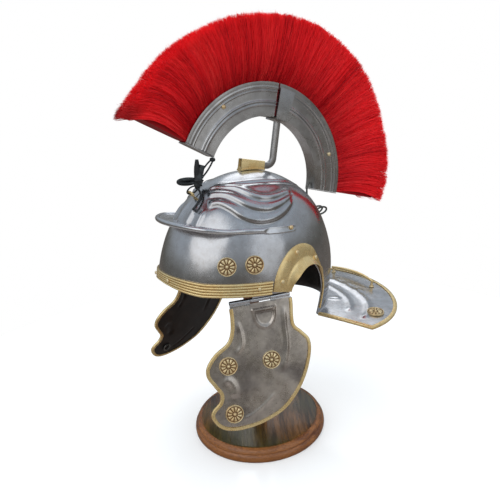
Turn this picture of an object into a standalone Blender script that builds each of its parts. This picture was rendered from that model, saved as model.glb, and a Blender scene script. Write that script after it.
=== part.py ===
"""Roman legionary helmet with a red hair crest, on a round wooden stand.

The helmet is worked out in its own frame, whose origin is the centre of the bowl at brow level:
-Y is the front, +X the wearer's left, +Z the crown. An empty then sets that frame on the stand.
"""

import math

import bpy
from mathutils import Matrix, Vector

MM = 0.001
GAP = 0.3 * MM  # between pieces that touch

# Stand
BASE_RADIUS = 90 * MM
BASE_THICKNESS = 17 * MM
BASE_MOULDING = 9.2 * MM  # width of the moulded edge round the flat top
POST_RADIUS = 10 * MM

# How the helmet sits on the stand
HELMET_PITCH = math.radians(-11.5)  # brow up, nape down
HELMET_CENTRE = Vector((0, -2.1, 221.8)) * MM

# Bowl: half an ellipsoid on an upright wall
BOWL_HALF_WIDTH = 85.5 * MM
BOWL_HALF_LENGTH = 113 * MM
BOWL_HEIGHT = 129.7 * MM  # of the ellipsoid, before its crown is flattened
CROWN_FROM = 0.73  # share of that height above which it is flattened
CROWN_DROP = 3 * MM  # how far the crown lies under the ellipsoid
SHEET = 1.3 * MM
NAPE_STEPS = 11  # flats of the nape and of the neck guard's rim, from the middle to one side
NAPE_TAPER = 0.035  # how far the nape wall draws in, as a share of the bowl
NAPE_RIBS = 3
NAPE_RIB_FROM = 0.28  # place of the lowest rib, as a share of the way up from the neck guard to brow level
NAPE_RIB_STEP = 0.22
RIM_FRONT = -7.5 * MM  # height of the bowl's lower edge at the middle of the brow
RIM_TEMPLE = -12.5 * MM  # at the temples, where it is lowest
RIM_SIDE = -0.5 * MM  # where it meets the ear opening

# Ear opening
EAR_FRONT = 6.4 * MM
EAR_TOP_AT = 32 * MM
EAR_HEIGHT = 31.5 * MM
NECK_CORNER = 66.4 * MM  # where the nape wall's front edge meets the neck guard

# Neck guard
GUARD_SLOPE = 0.2  # level when the helmet is on its stand
GUARD_LEVEL = -28.8 * MM  # height of its middle line at the widest point
GUARD_WIDEST_AT = 98.1 * MM
GUARD_HALF_WIDTH = 129.8 * MM
GUARD_REACH = 98.1 * MM
GUARD_SQUARENESS = 2.14
GUARD_DROOP = 4.3 * MM  # how far its sides hang, 100 mm out

# Brow band and brow guard
BAND_HEIGHT = 15.5 * MM
BAND_THICKNESS = 1.3 * MM
BAND_RIDGE = 1.2 * MM
BAND_RIDGES = 5
BROW_LEVEL = 61 * MM
BROW_REACH = 21 * MM
BROW_BAR = 4.2 * MM
BROW_TAB = 2.2 * MM  # thickness of its flat ends
BROW_EDGE_HEIGHT = 5.6 * MM
BROW_RISE = 0.117  # slope of its arms behind the temples
BROW_ARM_FROM = -62 * MM

# Ear guards
EAR_GUARD_CENTRE = 22 * MM
EAR_GUARD_HALF_LENGTH = 38.2 * MM
EAR_GUARD_HEIGHT = 52.8 * MM
EAR_GUARD_SHEET = 1.2 * MM
EAR_LIP = 7 * MM
EAR_TAIL = 3.6 * MM  # width of its tail, which runs down the rear of the opening
EAR_TAIL_END = 0.965  # how far round the opening it runs, from the front foot

# Brass edging: a channel folded over the sheet's edge
EDGING_WIDTH = 3.6 * MM
EDGING_WALL = 0.8 * MM

# Crest
CREST_AT = 5.3 * MM
CREST_LEVEL = 114.5 * MM
CREST_OUTER = 110.2 * MM
CREST_INNER = 73.3 * MM
CREST_HALF_WIDTH = 9 * MM
CREST_SHEET = 1.4 * MM
CREST_RIB = 1.1 * MM
CREST_FRONT = math.radians(-72.5)
CREST_REAR = math.radians(93.5)
END_PLATE = 1.2 * MM
CLAMP_ANGLE = math.radians(8.6)
CLAMP_WIDTH = 18 * MM
CLAMP_SHEET = 1.5 * MM
PLUME_LENGTH = 80 * MM
PLUME_FLARE = 27 * MM  # half the plume's width at its tips
PLUME_LOCKS = 30

# Crest rod and its holder
ROD_DEPTH = 7.4 * MM
ROD_WIDTH = 5.4 * MM
ROD_AT = 18 * MM
ROD_BEND = 6 * MM
HOLDER_FRONT = -26.5 * MM
HOLDER_REAR = 5 * MM
HOLDER_HALF_WIDTH = 6.2 * MM
HOLDER_WALL = 1.2 * MM
HOLDER_RUNNING = 0.35 * MM  # between the rod and its holder

# Cheek pieces
HINGE_FRONT = Vector((67, -59.5, -14)) * MM
HINGE_REAR = Vector((84.5, 6.3, 0.6)) * MM
HINGE_DROP = 3.9 * MM  # the hinge line lies this far under the marks above
KNUCKLE_RADIUS = 2.6 * MM
PIN_RADIUS = 1.2 * MM
PIN_RUNNING = 0.15 * MM
CHEEK_LENGTH = 144.3 * MM
CHEEK_WIDTH = 107.2 * MM  # from the hinge's rear end to the foremost lobe
CHEEK_SHEET = 1.3 * MM
LEFT_SWING = math.radians(14)  # outward from hanging straight down, as it rests
RIGHT_SWING = math.radians(22)

# Trim
ROSETTE_RADIUS = 10.5 * MM
ROSETTE_HEIGHT = 2.4 * MM
RIVET_RADIUS = 2.5 * MM
WIRE_RADIUS = 1.2 * MM
THONG_RADIUS = 2 * MM
FRONT_LOOP_LEVEL = 0.694  # share of the bowl's height
FRONT_LOOP_HEIGHT = 6.5 * MM
HANDLE_HALF_SPAN = 41 * MM
HANDLE_AT = 176 * MM
HANDLE_LIFT = 6 * MM
HANDLE_END_RADIUS = 1.5 * MM

# The bowl's embossed brows: each row is (along the bowl, up it), as shares of its half length and height
BROW_LINES = {
    "upper": ((-0.628, 0.767), (-0.566, 0.803), (-0.495, 0.818), (-0.424, 0.817), (-0.354, 0.793),
              (-0.274, 0.767), (-0.180, 0.762), (-0.065, 0.781), (0.078, 0.823), (0.174, 0.844)),
    "middle": ((-0.661, 0.712), (-0.601, 0.741), (-0.523, 0.749), (-0.454, 0.727), (-0.379, 0.696),
               (-0.294, 0.676), (-0.175, 0.676), (-0.058, 0.709), (0.074, 0.771), (0.155, 0.817)),
    "lower": ((-0.688, 0.643), (-0.627, 0.672), (-0.577, 0.675), (-0.509, 0.646), (-0.451, 0.610),
               (-0.368, 0.583), (-0.257, 0.578), (-0.118, 0.609), (0.012, 0.673), (0.152, 0.782)),
}
# Upright flutes between the brows: (half angle round the bowl in degrees, low, high) as shares of its height
FLUTES = ((0, 0.50, 0.63), (14, 0.49, 0.62), (25, 0.48, 0.60))
# The plume's reach past the crest box: (share of the way back, share of its length)
PLUME_REACH = ((0.0, 0.95), (0.06, 0.87), (0.13, 0.83), (0.25, 0.82), (0.4, 0.85), (0.52, 0.90), (0.7, 0.93),
               (0.82, 0.90), (0.9, 0.95), (0.96, 0.96), (1.0, 0.92))
# Half a hair section: (share of the way out, share of the flare)
PLUME_SECTION = ((0.10, 0.36), (0.35, 0.60), (0.68, 0.88), (0.93, 1.0), (1.0, 0.62))
# A cheek piece's outline from the front of its hinge round to the rear: (share of width, share of length)
CHEEK_OUTLINE = ((-0.650, 0.020), (-0.651, 0.117), (-0.674, 0.224), (-0.732, 0.301), (-0.872, 0.367),
                 (-0.967, 0.447), (-0.984, 0.523), (-0.924, 0.612), (-0.876, 0.684), (-0.899, 0.744),
                 (-0.979, 0.795), (-1.000, 0.847), (-0.947, 0.922), (-0.850, 0.967), (-0.691, 0.984),
                 (-0.467, 0.966), (-0.230, 0.900), (-0.061, 0.787), (0.056, 0.657), (0.136, 0.504),
                 (0.146, 0.391), (0.076, 0.315), (-0.001, 0.240), (0.011, 0.081), (0.013, 0.020))
# Raised lines on a cheek piece, in the same shares
CHEEK_LINES = {
    "upright": ((-0.080, 0.074), (-0.095, 0.224), (-0.100, 0.374), (-0.140, 0.504), (-0.195, 0.614)),
    "front": ((-0.600, 0.134), (-0.575, 0.244), (-0.590, 0.334), (-0.660, 0.404)),
    "notch": ((-0.825, 0.564), (-0.755, 0.599), (-0.725, 0.664), (-0.755, 0.734)),
    "foot": ((-0.700, 0.914), (-0.560, 0.884), (-0.400, 0.814), (-0.290, 0.749)),
}
CHEEK_ROSETTES = ((-0.758, 0.471), (-0.294, 0.488), (-0.769, 0.852))
BOWL_ROSETTES = ((67.1, -66.8, 24.1), (77.9, -39.4, 28.5))
GUARD_ROSETTE = (GUARD_HALF_WIDTH - 26.5 * MM, GUARD_WIDEST_AT + 28.4 * MM)
CREST_RIVET_IN = 11.8 * MM  # from the crest box's outer edge
THONG_TAIL = ((-0.687, 0.706), (-0.7345, 0.640), (-0.779, 0.584))  # shares along and up the bowl

COLOURS = {  # base colour, metallic, roughness
    "steel": ((0.46, 0.46, 0.47), 1.0, 0.28),
    "brass": ((0.78, 0.56, 0.24), 1.0, 0.3),
    "wood": ((0.30, 0.14, 0.06), 0.0, 0.35),
    "hair": ((0.62, 0.02, 0.03), 0.0, 0.7),
    "leather": ((0.02, 0.02, 0.022), 0.0, 0.6),
}


def clear_scene():
    for item in list(bpy.data.objects):
        bpy.data.objects.remove(item, do_unlink=True)


def material(name, kind):
    colour, metallic, roughness = COLOURS[kind]
    made = bpy.data.materials.new(name)
    made.use_nodes = True
    shader = made.node_tree.nodes["Principled BSDF"]
    shader.inputs["Base Color"].default_value = (*colour, 1)
    shader.inputs["Metallic"].default_value = metallic
    shader.inputs["Roughness"].default_value = roughness
    made.diffuse_color = (*colour, 1)
    return made


def solid(name, points, faces, kind, parent=None, helper=False, closed=True):
    """A mesh object. A closed one gets its faces turned outward, a sheet keeps them as they are listed."""
    import bmesh

    mesh = bpy.data.meshes.new(name)
    mesh.from_pydata([tuple(p) for p in points], [], faces)
    work = bmesh.new()
    work.from_mesh(mesh)
    if closed:
        bmesh.ops.recalc_face_normals(work, faces=work.faces)
    work.to_mesh(mesh)
    work.free()
    mesh.shade_smooth()
    mesh.set_sharp_from_angle(angle=math.radians(35))
    mesh.materials.append(material(name, kind))
    item = bpy.data.objects.new(name, mesh)
    bpy.context.scene.collection.objects.link(item)
    item.parent = parent
    if helper:
        item.hide_render = True
        item.display_type = "WIRE"
    return item


def skin(rings, closed=False):
    """Points and faces of a skin over rings of equal length. Open ends are capped."""
    count = len(rings[0])
    points = [p for ring in rings for p in ring]
    faces = []
    for i in range(len(rings) if closed else len(rings) - 1):
        a = i * count
        b = (i + 1) % len(rings) * count
        for j in range(count):
            k = (j + 1) % count
            faces.append((a + j, a + k, b + k, b + j))
    if not closed:
        faces.append(tuple(range(count)))
        faces.append(tuple(range(len(points) - count, len(points))))
    return points, faces


def turned(profile, steps, origin=Vector(), axis=Vector((0, 0, 1))):
    """A body turned about an axis, from a (radius, height) profile from bottom centre to top centre."""
    side = axis.orthogonal().normalized()
    other = axis.cross(side)
    points = [origin + axis * profile[0][1], origin + axis * profile[-1][1]]
    for radius, height in profile[1:-1]:
        for i in range(steps):
            turn = 2 * math.pi * i / steps
            points.append(origin + axis * height + (side * math.cos(turn) + other * math.sin(turn)) * radius)
    faces = []
    for i in range(steps):
        k = (i + 1) % steps
        faces.append((0, 2 + k, 2 + i))
        for row in range(len(profile) - 3):
            a = 2 + row * steps
            faces.append((a + i, a + k, a + steps + k, a + steps + i))
        last = 2 + (len(profile) - 3) * steps
        faces.append((last + i, last + k, 1))
    return points, faces


def smooth_path(marks, steps):
    """Points on a smooth curve through the marks, with so many steps between each pair."""
    ends = [marks[0] * 2 - marks[1], *marks, marks[-1] * 2 - marks[-2]]
    path = []
    for a, b, c, d in zip(ends, ends[1:], ends[2:], ends[3:]):
        for i in range(steps):
            t = i / steps
            path.append(0.5 * (2 * b + (c - a) * t + (2 * a - 5 * b + 4 * c - d) * t ** 2
                               + (3 * b - a - 3 * c + d) * t ** 3))
    return [*path, marks[-1].copy()]


def rod_rings(path, radius, sides, closed=False):
    """Round sections along a path, turned as little as they can be."""
    rings = []
    side = None
    for i, point in enumerate(path):
        if closed:
            along = (path[(i + 1) % len(path)] - path[i - 1]).normalized()
        else:
            along = (path[min(i + 1, len(path) - 1)] - path[max(i - 1, 0)]).normalized()
        side = along.orthogonal() if side is None else side - along * side.dot(along)
        side.normalize()
        other = along.cross(side)
        here = radius(i / (len(path) - 1)) if callable(radius) else radius
        rings.append([point + (side * math.cos(a) + other * math.sin(a)) * here
                      for a in (2 * math.pi * j / sides for j in range(sides))])
    return rings


def rod(name, path, radius, sides, kind, parent, closed=False, helper=False):
    return solid(name, *skin(rod_rings(path, radius, sides, closed), closed), kind, parent, helper)


def join(item, others, operation="UNION"):
    """Adds helper bodies to an item, or cuts them from it."""
    for other in others:
        step = item.modifiers.new(other.name, "BOOLEAN")
        step.operation = operation
        step.solver = "EXACT"
        step.object = other


def blend(low, high, t):
    t = max(0.0, min(1.0, t))
    return low + (high - low) * t * t * (3 - 2 * t)


def read_table(rows, x):
    """Straight reading between the rows of a table of (x, y)."""
    for (x0, y0), (x1, y1) in zip(rows, rows[1:]):
        if x <= x1:
            return y0 + (y1 - y0) * (x - x0) / (x1 - x0)
    return rows[-1][1]


def bowl_point(side, along, up, out=0.0):
    """A point on the bowl's outer face, or out from it, from its place along and up the bowl."""
    level = math.sqrt(max(1 - (max(up, 0.0) / BOWL_HEIGHT) ** 2, 1e-9))
    return bowl_at(side * math.acos(max(-1, min(1, -along / (BOWL_HALF_LENGTH * level)))), up, out)


def draw_in(turn, up):
    """What the wall's drawing in leaves of the bowl's size, from the ear opening round the nape."""
    turn = abs(turn)
    if up >= 0 or turn < math.acos(-EAR_TOP_AT / BOWL_HALF_LENGTH):
        return 1
    return 1 - NAPE_TAPER * up / crease_point(max(turn, neck_corner_turn())).z


def bowl_normal(across, along, height):
    return Vector((across / BOWL_HALF_WIDTH ** 2, along / BOWL_HALF_LENGTH ** 2,
                   height / BOWL_HEIGHT ** 2)).normalized()


def flattened(up):
    """Height of the bowl's outer face where the ellipsoid would be so high."""
    return up - CROWN_DROP * blend(0, 1, (up / BOWL_HEIGHT - CROWN_FROM) / (1 - CROWN_FROM))


def crown_line(along):
    """Height of the bowl's outer face on its middle line."""
    return flattened(BOWL_HEIGHT * math.sqrt(max(1 - (along / BOWL_HALF_LENGTH) ** 2, 0)))


def bowl_at(turn, up, out=0.0):
    """A point on the bowl's outer face at an angle round from the front and a height on the ellipsoid."""
    height = max(up, 0.0)
    share = math.sqrt(max(1 - (height / BOWL_HEIGHT) ** 2, 0.0)) * draw_in(turn, up)
    across = BOWL_HALF_WIDTH * share * math.sin(turn)
    along = -BOWL_HALF_LENGTH * share * math.cos(turn)
    return Vector((across, along, flattened(up))) + bowl_normal(across, along, height) * out


def front_rim(turn):
    """Height of the bowl's lower edge from the brow to the ear opening."""
    turn = abs(turn)
    temple = math.radians(40)
    ear = math.acos(-EAR_FRONT / BOWL_HALF_LENGTH)
    if turn < temple:
        return blend(RIM_FRONT, RIM_TEMPLE, turn / temple)
    place = -BOWL_HALF_LENGTH * math.cos(turn)
    start = -BOWL_HALF_LENGTH * math.cos(temple)
    end = -BOWL_HALF_LENGTH * math.cos(ear)
    return RIM_TEMPLE + (RIM_SIDE - RIM_TEMPLE) * (place - start) / (end - start)


def guard_height(across, along):
    """Height of the neck guard's upper face."""
    droop = GUARD_DROOP * (across / 0.1) ** 2
    return GUARD_LEVEL + GUARD_SLOPE * (along - GUARD_WIDEST_AT) - droop


def guard_normal(across):
    return Vector((GUARD_DROOP * 2 * across / 0.01, -GUARD_SLOPE, 1)).normalized()


def neck_corner_turn():
    return math.acos(-NECK_CORNER / (BOWL_HALF_LENGTH * (1 - NAPE_TAPER)))


def crease_point(turn):
    """Where the nape wall meets the neck guard."""
    share = 1 - NAPE_TAPER
    across = BOWL_HALF_WIDTH * share * math.sin(turn)
    along = -BOWL_HALF_LENGTH * share * math.cos(turn)
    return Vector((across, along, guard_height(across, along)))


def guard_rim(share):
    """A point on the neck guard's rim, from the left corner at 0, round the back, to the right at 1."""
    if share > 0.5:
        point = guard_rim(1 - share)
        return Vector((-point.x, point.y, point.z))
    corner = crease_point(neck_corner_turn())
    straight = 0.14
    if share < straight:
        point = corner.lerp(Vector((GUARD_HALF_WIDTH, GUARD_WIDEST_AT, 0)), share / straight)
    else:
        turn = math.pi / 2 * (share - straight) / (0.5 - straight)
        power = 2 / GUARD_SQUARENESS
        point = Vector((GUARD_HALF_WIDTH * max(math.cos(turn), 0) ** power,
                        GUARD_WIDEST_AT + GUARD_REACH * math.sin(turn) ** power, 0))
    return Vector((point.x, point.y, guard_height(point.x, point.y)))


def ear_edge(share):
    """(along, up) on the edge of the ear opening, from its front foot at 0 to the neck corner at 1."""
    foot = crease_point(neck_corner_turn()).z
    if share < 0.5:
        turn = math.pi * share
        return (EAR_TOP_AT - (EAR_TOP_AT - EAR_FRONT) * math.cos(turn),
                RIM_SIDE + (EAR_HEIGHT - RIM_SIDE) * math.sin(turn))
    turn = math.pi * (1 - share)
    rear = NECK_CORNER / (1 - NAPE_TAPER)
    return (EAR_TOP_AT + (rear - EAR_TOP_AT) * math.cos(turn),
            foot + (EAR_HEIGHT - foot) * math.sin(turn))


def bowl_columns():
    """(angle round, height of the lower edge) for the bowl's columns on the left, front to back."""
    columns = []
    ear_turn = math.acos(-EAR_FRONT / BOWL_HALF_LENGTH)
    front_steps = 10
    for i in range(front_steps):
        turn = ear_turn * i / front_steps
        columns.append((turn, front_rim(turn)))
    ear_steps = 10
    for i in range(ear_steps + 1):
        along, up = ear_edge(i / ear_steps)
        share = math.sqrt(1 - (max(up, 0) / BOWL_HEIGHT) ** 2)
        columns.append((math.acos(-along / (BOWL_HALF_LENGTH * share)), up))
    corner = neck_corner_turn()
    for i in range(1, NAPE_STEPS + 1):
        turn = corner + (math.pi - corner) * i / NAPE_STEPS
        columns.append((turn, crease_point(turn).z))
    return columns


def make_bowl(parent):
    rows = 8
    left = bowl_columns()
    columns = left + [(-turn, up) for turn, up in left[-2:0:-1]]
    nape_from = neck_corner_turn()
    points = [Vector((0, 0, crown_line(0)))]
    for row in range(1, rows + 1):
        for turn, edge in columns:
            lean = math.acos(max(edge, 0) / BOWL_HEIGHT)
            wall = max(-edge, 0.0)
            travel = (BOWL_HEIGHT * lean + wall) * row / rows
            up = BOWL_HEIGHT * math.cos(min(travel / BOWL_HEIGHT, lean))
            up = up if travel <= BOWL_HEIGHT * lean else BOWL_HEIGHT * lean - travel
            points.append(bowl_at(turn, up))
    count = len(columns)
    faces = [(0, 1 + i, 1 + (i + 1) % count) for i in range(count)]
    for row in range(rows - 1):
        a = 1 + row * count
        for i in range(count):
            k = (i + 1) % count
            faces.append((a + i, a + count + i, a + count + k, a + k))
    nape = [i for i, (turn, up) in enumerate(columns) if abs(turn) > nape_from - 0.001]
    last = [1 + (rows - 1) * count + i for i in nape]
    crease = [points[i] for i in last]
    guard_rows = 4
    for row in range(1, guard_rows + 1):
        fresh = []
        for j, start in enumerate(crease):
            end = guard_rim(j / (len(crease) - 1))
            point = start.lerp(end, row / guard_rows)
            if 0 < j < len(crease) - 1:
                point.z = guard_height(point.x, point.y)
            points.append(point)
            fresh.append(len(points) - 1)
        for j in range(len(crease) - 1):
            faces.append((last[j], fresh[j], fresh[j + 1], last[j + 1]))
        last = fresh
    faces, points = weld_corner(points, faces)
    item = solid("bowl", points, faces, "steel", parent, closed=False)
    wall = item.modifiers.new("sheet", "SOLIDIFY")
    wall.thickness = SHEET
    wall.offset = -1
    wall.use_even_offset = True
    return item


def weld_corner(points, faces):
    """Makes points that lie on each other one, and drops the faces that this empties."""
    kept = []
    index = []
    seen = {}
    for point in points:
        key = tuple(round(c / (0.01 * MM)) for c in point)
        if key not in seen:
            seen[key] = len(kept)
            kept.append(point)
        index.append(seen[key])
    fresh = []
    for face in faces:
        corners = [index[i] for i in face]
        corners = [c for i, c in enumerate(corners) if c != corners[i - 1]]
        if len(corners) > 2:
            fresh.append(tuple(corners))
    return fresh, kept


def raised_line(name, marks, normals, width, height, sunk, parent):
    """A low bar along the marks, tapered at both ends, to be joined to the sheet it stands on."""
    rings = []
    for i, (mark, normal) in enumerate(zip(marks, normals)):
        along = (marks[min(i + 1, len(marks) - 1)] - marks[max(i - 1, 0)]).normalized()
        across = along.cross(normal).normalized()
        swell = 0.35 + 0.65 * math.sin(math.pi * (i + 0.5) / len(marks))
        half = width / 2 * swell
        rings.append([mark - across * half - normal * sunk, mark + across * half - normal * sunk,
                      mark + across * half * 0.3 + normal * height * swell,
                      mark - across * half * 0.3 + normal * height * swell])
    return solid(name, *skin(rings), "steel", parent, helper=True)


def bowl_lines(bowl, parent):
    """The embossed brows, the flutes between them and the ribs across the nape."""
    lines = []
    for side, hand in ((1, "left"), (-1, "right")):
        for name, table in BROW_LINES.items():
            marks = [bowl_point(side, a * BOWL_HALF_LENGTH, u * BOWL_HEIGHT) for a, u in table]
            path = smooth_path(marks, 1)
            normals = [bowl_normal(*p) for p in path]
            helper = f"brow_{name}_{hand}"
            lines.append(raised_line(helper, path, normals, 6 * MM, 1.8 * MM, 0.8 * MM, parent))
    for half, low, high in FLUTES:
        for side in (1, -1) if half else (1,):
            turn = math.radians(half) * side
            path = [bowl_at(turn, BOWL_HEIGHT * (low + (high - low) * i / 4)) for i in range(5)]
            normals = [bowl_normal(*p) for p in path]
            name = f"flute_{half}_{'left' if side > 0 else 'right'}"
            lines.append(raised_line(name, path, normals, 6 * MM, 1.4 * MM, 0.8 * MM, parent))
    for rib in range(NAPE_RIBS):
        path = []
        for i in range(9):
            turn = neck_corner_turn() + 0.09 + (2 * math.pi - 2 * neck_corner_turn() - 0.18) * i / 8
            share = NAPE_RIB_FROM + NAPE_RIB_STEP * rib
            path.append(bowl_at(turn, crease_point(turn).z * (1 - share)))
        normals = [bowl_normal(p.x, p.y, 0) for p in path]
        lines.append(raised_line(f"nape_rib_{rib + 1}", path, normals, 4.4 * MM, 1.6 * MM, 0.9 * MM, parent))
    join(bowl, lines)


def make_stand(helmet_to_world):
    edge = BASE_RADIUS
    top = BASE_THICKNESS
    flat = BASE_RADIUS - BASE_MOULDING
    profile = ((0, 0), (edge - 2 * MM, 0), (edge - 0.4 * MM, 1.2 * MM),
               (edge, 0.25 * top), (edge - 0.6 * MM, 0.5 * top),
               (edge - 2.4 * MM, 0.62 * top), (edge - 4.2 * MM, 0.82 * top), (flat + 2.2 * MM, 0.97 * top),
               (flat, top), (0, top))
    solid("base", *turned(profile, 40), "wood")
    inverse = helmet_to_world.inverted()
    low, high = BASE_THICKNESS, 2 * BOWL_HEIGHT + HELMET_CENTRE.z
    for _ in range(60):
        middle = (low + high) / 2
        inside = inverse @ Vector((0, 0, middle))
        low, high = (middle, high) if inside.z < crown_line(inside.y) else (low, middle)
    crown = low - SHEET - 2 * GAP
    start = BASE_THICKNESS + GAP
    cap = POST_RADIUS
    profile = [(0, start), (POST_RADIUS, start), (POST_RADIUS, crown - cap * 0.6)]
    profile += [(cap * math.cos(a), crown - cap * 0.6 + cap * 0.6 * math.sin(a)) for a in (0.6, 1.1)]
    profile.append((0, crown))
    solid("post", *turned(profile, 16), "wood")


def make_band(parent):
    ear = math.acos((EAR_GUARD_HALF_LENGTH - EAR_GUARD_CENTRE + 1.6 * MM) / BOWL_HALF_LENGTH)
    steps = 28
    rings = []
    for i in range(steps + 1):
        turn = ear * (2 * i / steps - 1)
        low = front_rim(turn)
        high = low + BAND_HEIGHT * blend(0.72, 1, abs(turn) / math.radians(40))
        ring = [bowl_at(turn, high, GAP), bowl_at(turn, low, GAP)]
        count = 2 * BAND_RIDGES
        for j in range(count + 1):
            up = low + (high - low) * j / count
            ring.append(bowl_at(turn, up, GAP + BAND_THICKNESS + (BAND_RIDGE if j % 2 else 0)))
        rings.append(ring)
    solid("brow_band", *skin(rings), "brass", parent)


def make_brow_guard(parent):
    def level(turn, up):
        along = bowl_at(turn, up).y
        return BROW_LEVEL + BROW_RISE * max(along - BROW_ARM_FROM, 0)

    end = math.radians(97)
    steps = 34
    rings = []
    for i in range(steps + 1):
        turn = end * (2 * i / steps - 1)
        up = level(turn, BROW_LEVEL)
        up = level(turn, up)
        inner = bowl_at(turn, up)
        out = Vector((inner.x / BOWL_HALF_WIDTH ** 2, inner.y / BOWL_HALF_LENGTH ** 2, 0)).normalized()
        reach = blend(BROW_BAR, BROW_REACH, (math.radians(62) - abs(turn)) / math.radians(28))
        tab = blend(0, 1, (abs(turn) - math.radians(72)) / math.radians(12))
        reach = reach * (1 - tab) + BROW_TAB * tab
        half = BROW_EDGE_HEIGHT / 2 * (1 + 0.3 * tab)
        web = min(1.1 * MM + (half - 1.1 * MM) * blend(1, 0, (reach - BROW_BAR) / (8 * MM)), half)
        rise = Vector((0, 0, 1))
        ring = []
        for side in (1, -1):
            shape = ((0.0, web), (max(1 - 3.4 * MM / reach, 0.25), web),
                     (max(1 - 2.2 * MM / reach, 0.5), half),
                     (1.0, half * 0.62))
            for share, lift in shape if side > 0 else shape[::-1]:
                wall = (bowl_at(turn, up + lift * side) - inner).dot(out)
                away = max(wall + GAP * 2 + min(reach, BROW_TAB) * share, reach * share)
                ring.append(inner + out * away + rise * lift * side)
        rings.append(ring)
    solid("brow_guard", *skin(rings), "steel", parent)


def ear_guard_far(share):
    """(along, up) on the ear guard's outer edge, level with the same share of the opening's edge."""
    turn = math.pi * (1 - 1.02 * share)
    far = Vector((EAR_GUARD_CENTRE + EAR_GUARD_HALF_LENGTH * math.cos(turn),
                  RIM_SIDE + (EAR_GUARD_HEIGHT - RIM_SIDE) * math.sin(turn)))
    near = Vector(ear_edge(share))
    step = Vector(ear_edge(min(share + 0.01, 1))) - Vector(ear_edge(share - 0.01))
    beside = near + Vector((-step.y, step.x)).normalized() * EAR_TAIL
    return far.lerp(beside, blend(0, 1, (share - 0.6) / 0.17)) if share > 0.6 else far


def make_ear_guard(side, hand, parent):
    """A plate round the opening with a lip that stands out, and a narrow tail down to the neck guard."""
    steps = 22
    rings = []
    for i in range(steps + 1):
        share = EAR_TAIL_END * i / steps
        along, up = ear_edge(share)
        far_along, far_up = ear_guard_far(share)
        seat_in = bowl_point(side, along, up, GAP)
        seat_out = bowl_point(side, far_along, far_up, GAP)
        normal_in = bowl_normal(seat_in.x, seat_in.y, max(seat_in.z, 0))
        normal_out = bowl_normal(seat_out.x, seat_out.y, max(seat_out.z, 0))
        inward = (seat_in - seat_out).normalized()
        narrow = blend(1, 0, (share - 0.6) / 0.17)
        lip = EAR_LIP * blend(0.25, 1, i / (steps * 0.24)) * (0.25 + 0.75 * narrow)
        middle = bowl_point(side, (along + far_along) / 2, (up + far_up) / 2, GAP)
        normal_mid = bowl_normal(middle.x, middle.y, max(middle.z, 0))
        tip = seat_in + normal_in * lip + inward * lip * 0.35
        sheet = EAR_GUARD_SHEET
        shoulder = seat_in - inward * min(1.5 * MM, EAR_TAIL * 0.3) + normal_in * (sheet + 0.4 * MM * narrow)
        rings.append([seat_out, seat_out + normal_out * sheet, middle + normal_mid * sheet, shoulder,
                      tip - inward * sheet, tip, seat_in + normal_in * 0.2 * MM, middle])
    return solid(f"ear_guard_{hand}", *skin(rings), "brass", parent)


def channel(path, outs, lifts, wall, width):
    """Rings of a channel folded over a sheet's edge. outs point off the edge, lifts across the sheet."""
    rings = []
    inner = wall / 2 + GAP
    outer = inner + EDGING_WALL
    for point, out, lift in zip(path, outs, lifts):
        floor = point + out * GAP
        back = point + out * (GAP + EDGING_WALL)
        front = point - out * width
        rings.append([front + lift * inner, front + lift * outer, back + lift * outer, back - lift * outer,
                      front - lift * outer, front - lift * inner, floor - lift * inner, floor + lift * inner])
    return rings


def make_neck_edging(parent):
    """From one ear opening's rear edge, round the neck guard's rim, to the other's."""
    steps = 2 * NAPE_STEPS
    marks = [guard_rim(i / steps) for i in range(steps + 1)]
    marks[0] = marks[0].lerp(marks[1], 0.12)
    marks[-1] = marks[-1].lerp(marks[-2], 0.12)
    outs = []
    lifts = []
    for i, mark in enumerate(marks):
        along = (marks[min(i + 1, steps)] - marks[max(i - 1, 0)]).normalized()
        lift = guard_normal(mark.x)
        out = along.cross(lift).normalized()
        out = out if out.dot(mark - Vector((0, GUARD_WIDEST_AT * 0.9, mark.z))) > 0 else -out
        outs.append(out)
        lifts.append(lift)
    centre = [mark - lift * SHEET / 2 for mark, lift in zip(marks, lifts)]
    rings = channel(centre, outs, lifts, SHEET, EDGING_WIDTH)
    solid("neck_guard_edging", *skin(rings), "brass", parent)


def crest_point(radius, turn, across):
    return Vector((across, CREST_AT + radius * math.sin(turn), CREST_LEVEL + radius * math.cos(turn)))


def make_crest_box(parent):
    """A channel bent to an arc, open outward for the hair, with pressed ribs on its sides."""
    half, sheet, rib = CREST_HALF_WIDTH, CREST_SHEET, CREST_RIB
    depth = CREST_OUTER - CREST_INNER
    side = ((1.0, rib), (0.80, rib), (0.75, 0.0), (0.46, 0.0),
            (0.42, rib), (0.36, rib), (0.32, 0.0), (0.0, 0.0))
    outer = [(half + lift, CREST_INNER + depth * share) for share, lift in side]
    section = [*outer, *[(-x, r) for x, r in reversed(outer)], (-half + sheet, CREST_OUTER),
               (-half + sheet, CREST_INNER + sheet), (half - sheet, CREST_INNER + sheet),
               (half - sheet, CREST_OUTER)]
    steps = 24
    rings = []
    for i in range(steps + 1):
        turn = CREST_FRONT + (CREST_REAR - CREST_FRONT) * i / steps
        rings.append([crest_point(radius, turn, across) for across, radius in section])
    solid("crest_box", *skin(rings), "steel", parent)
    for name, turn, sense in (("front", CREST_FRONT, -1), ("rear", CREST_REAR, 1)):
        along = Vector((0, math.cos(turn), -math.sin(turn))) * sense
        corners = [(-half - rib, CREST_INNER - 0.6 * MM), (half + rib, CREST_INNER - 0.6 * MM),
                   (half + rib, CREST_OUTER + 0.6 * MM), (-half - rib, CREST_OUTER + 0.6 * MM)]
        near = [crest_point(radius, turn, across) + along * GAP for across, radius in corners]
        far = [p + along * END_PLATE for p in near]
        solid(f"crest_end_{name}", *skin([near, far]), "steel", parent)


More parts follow.
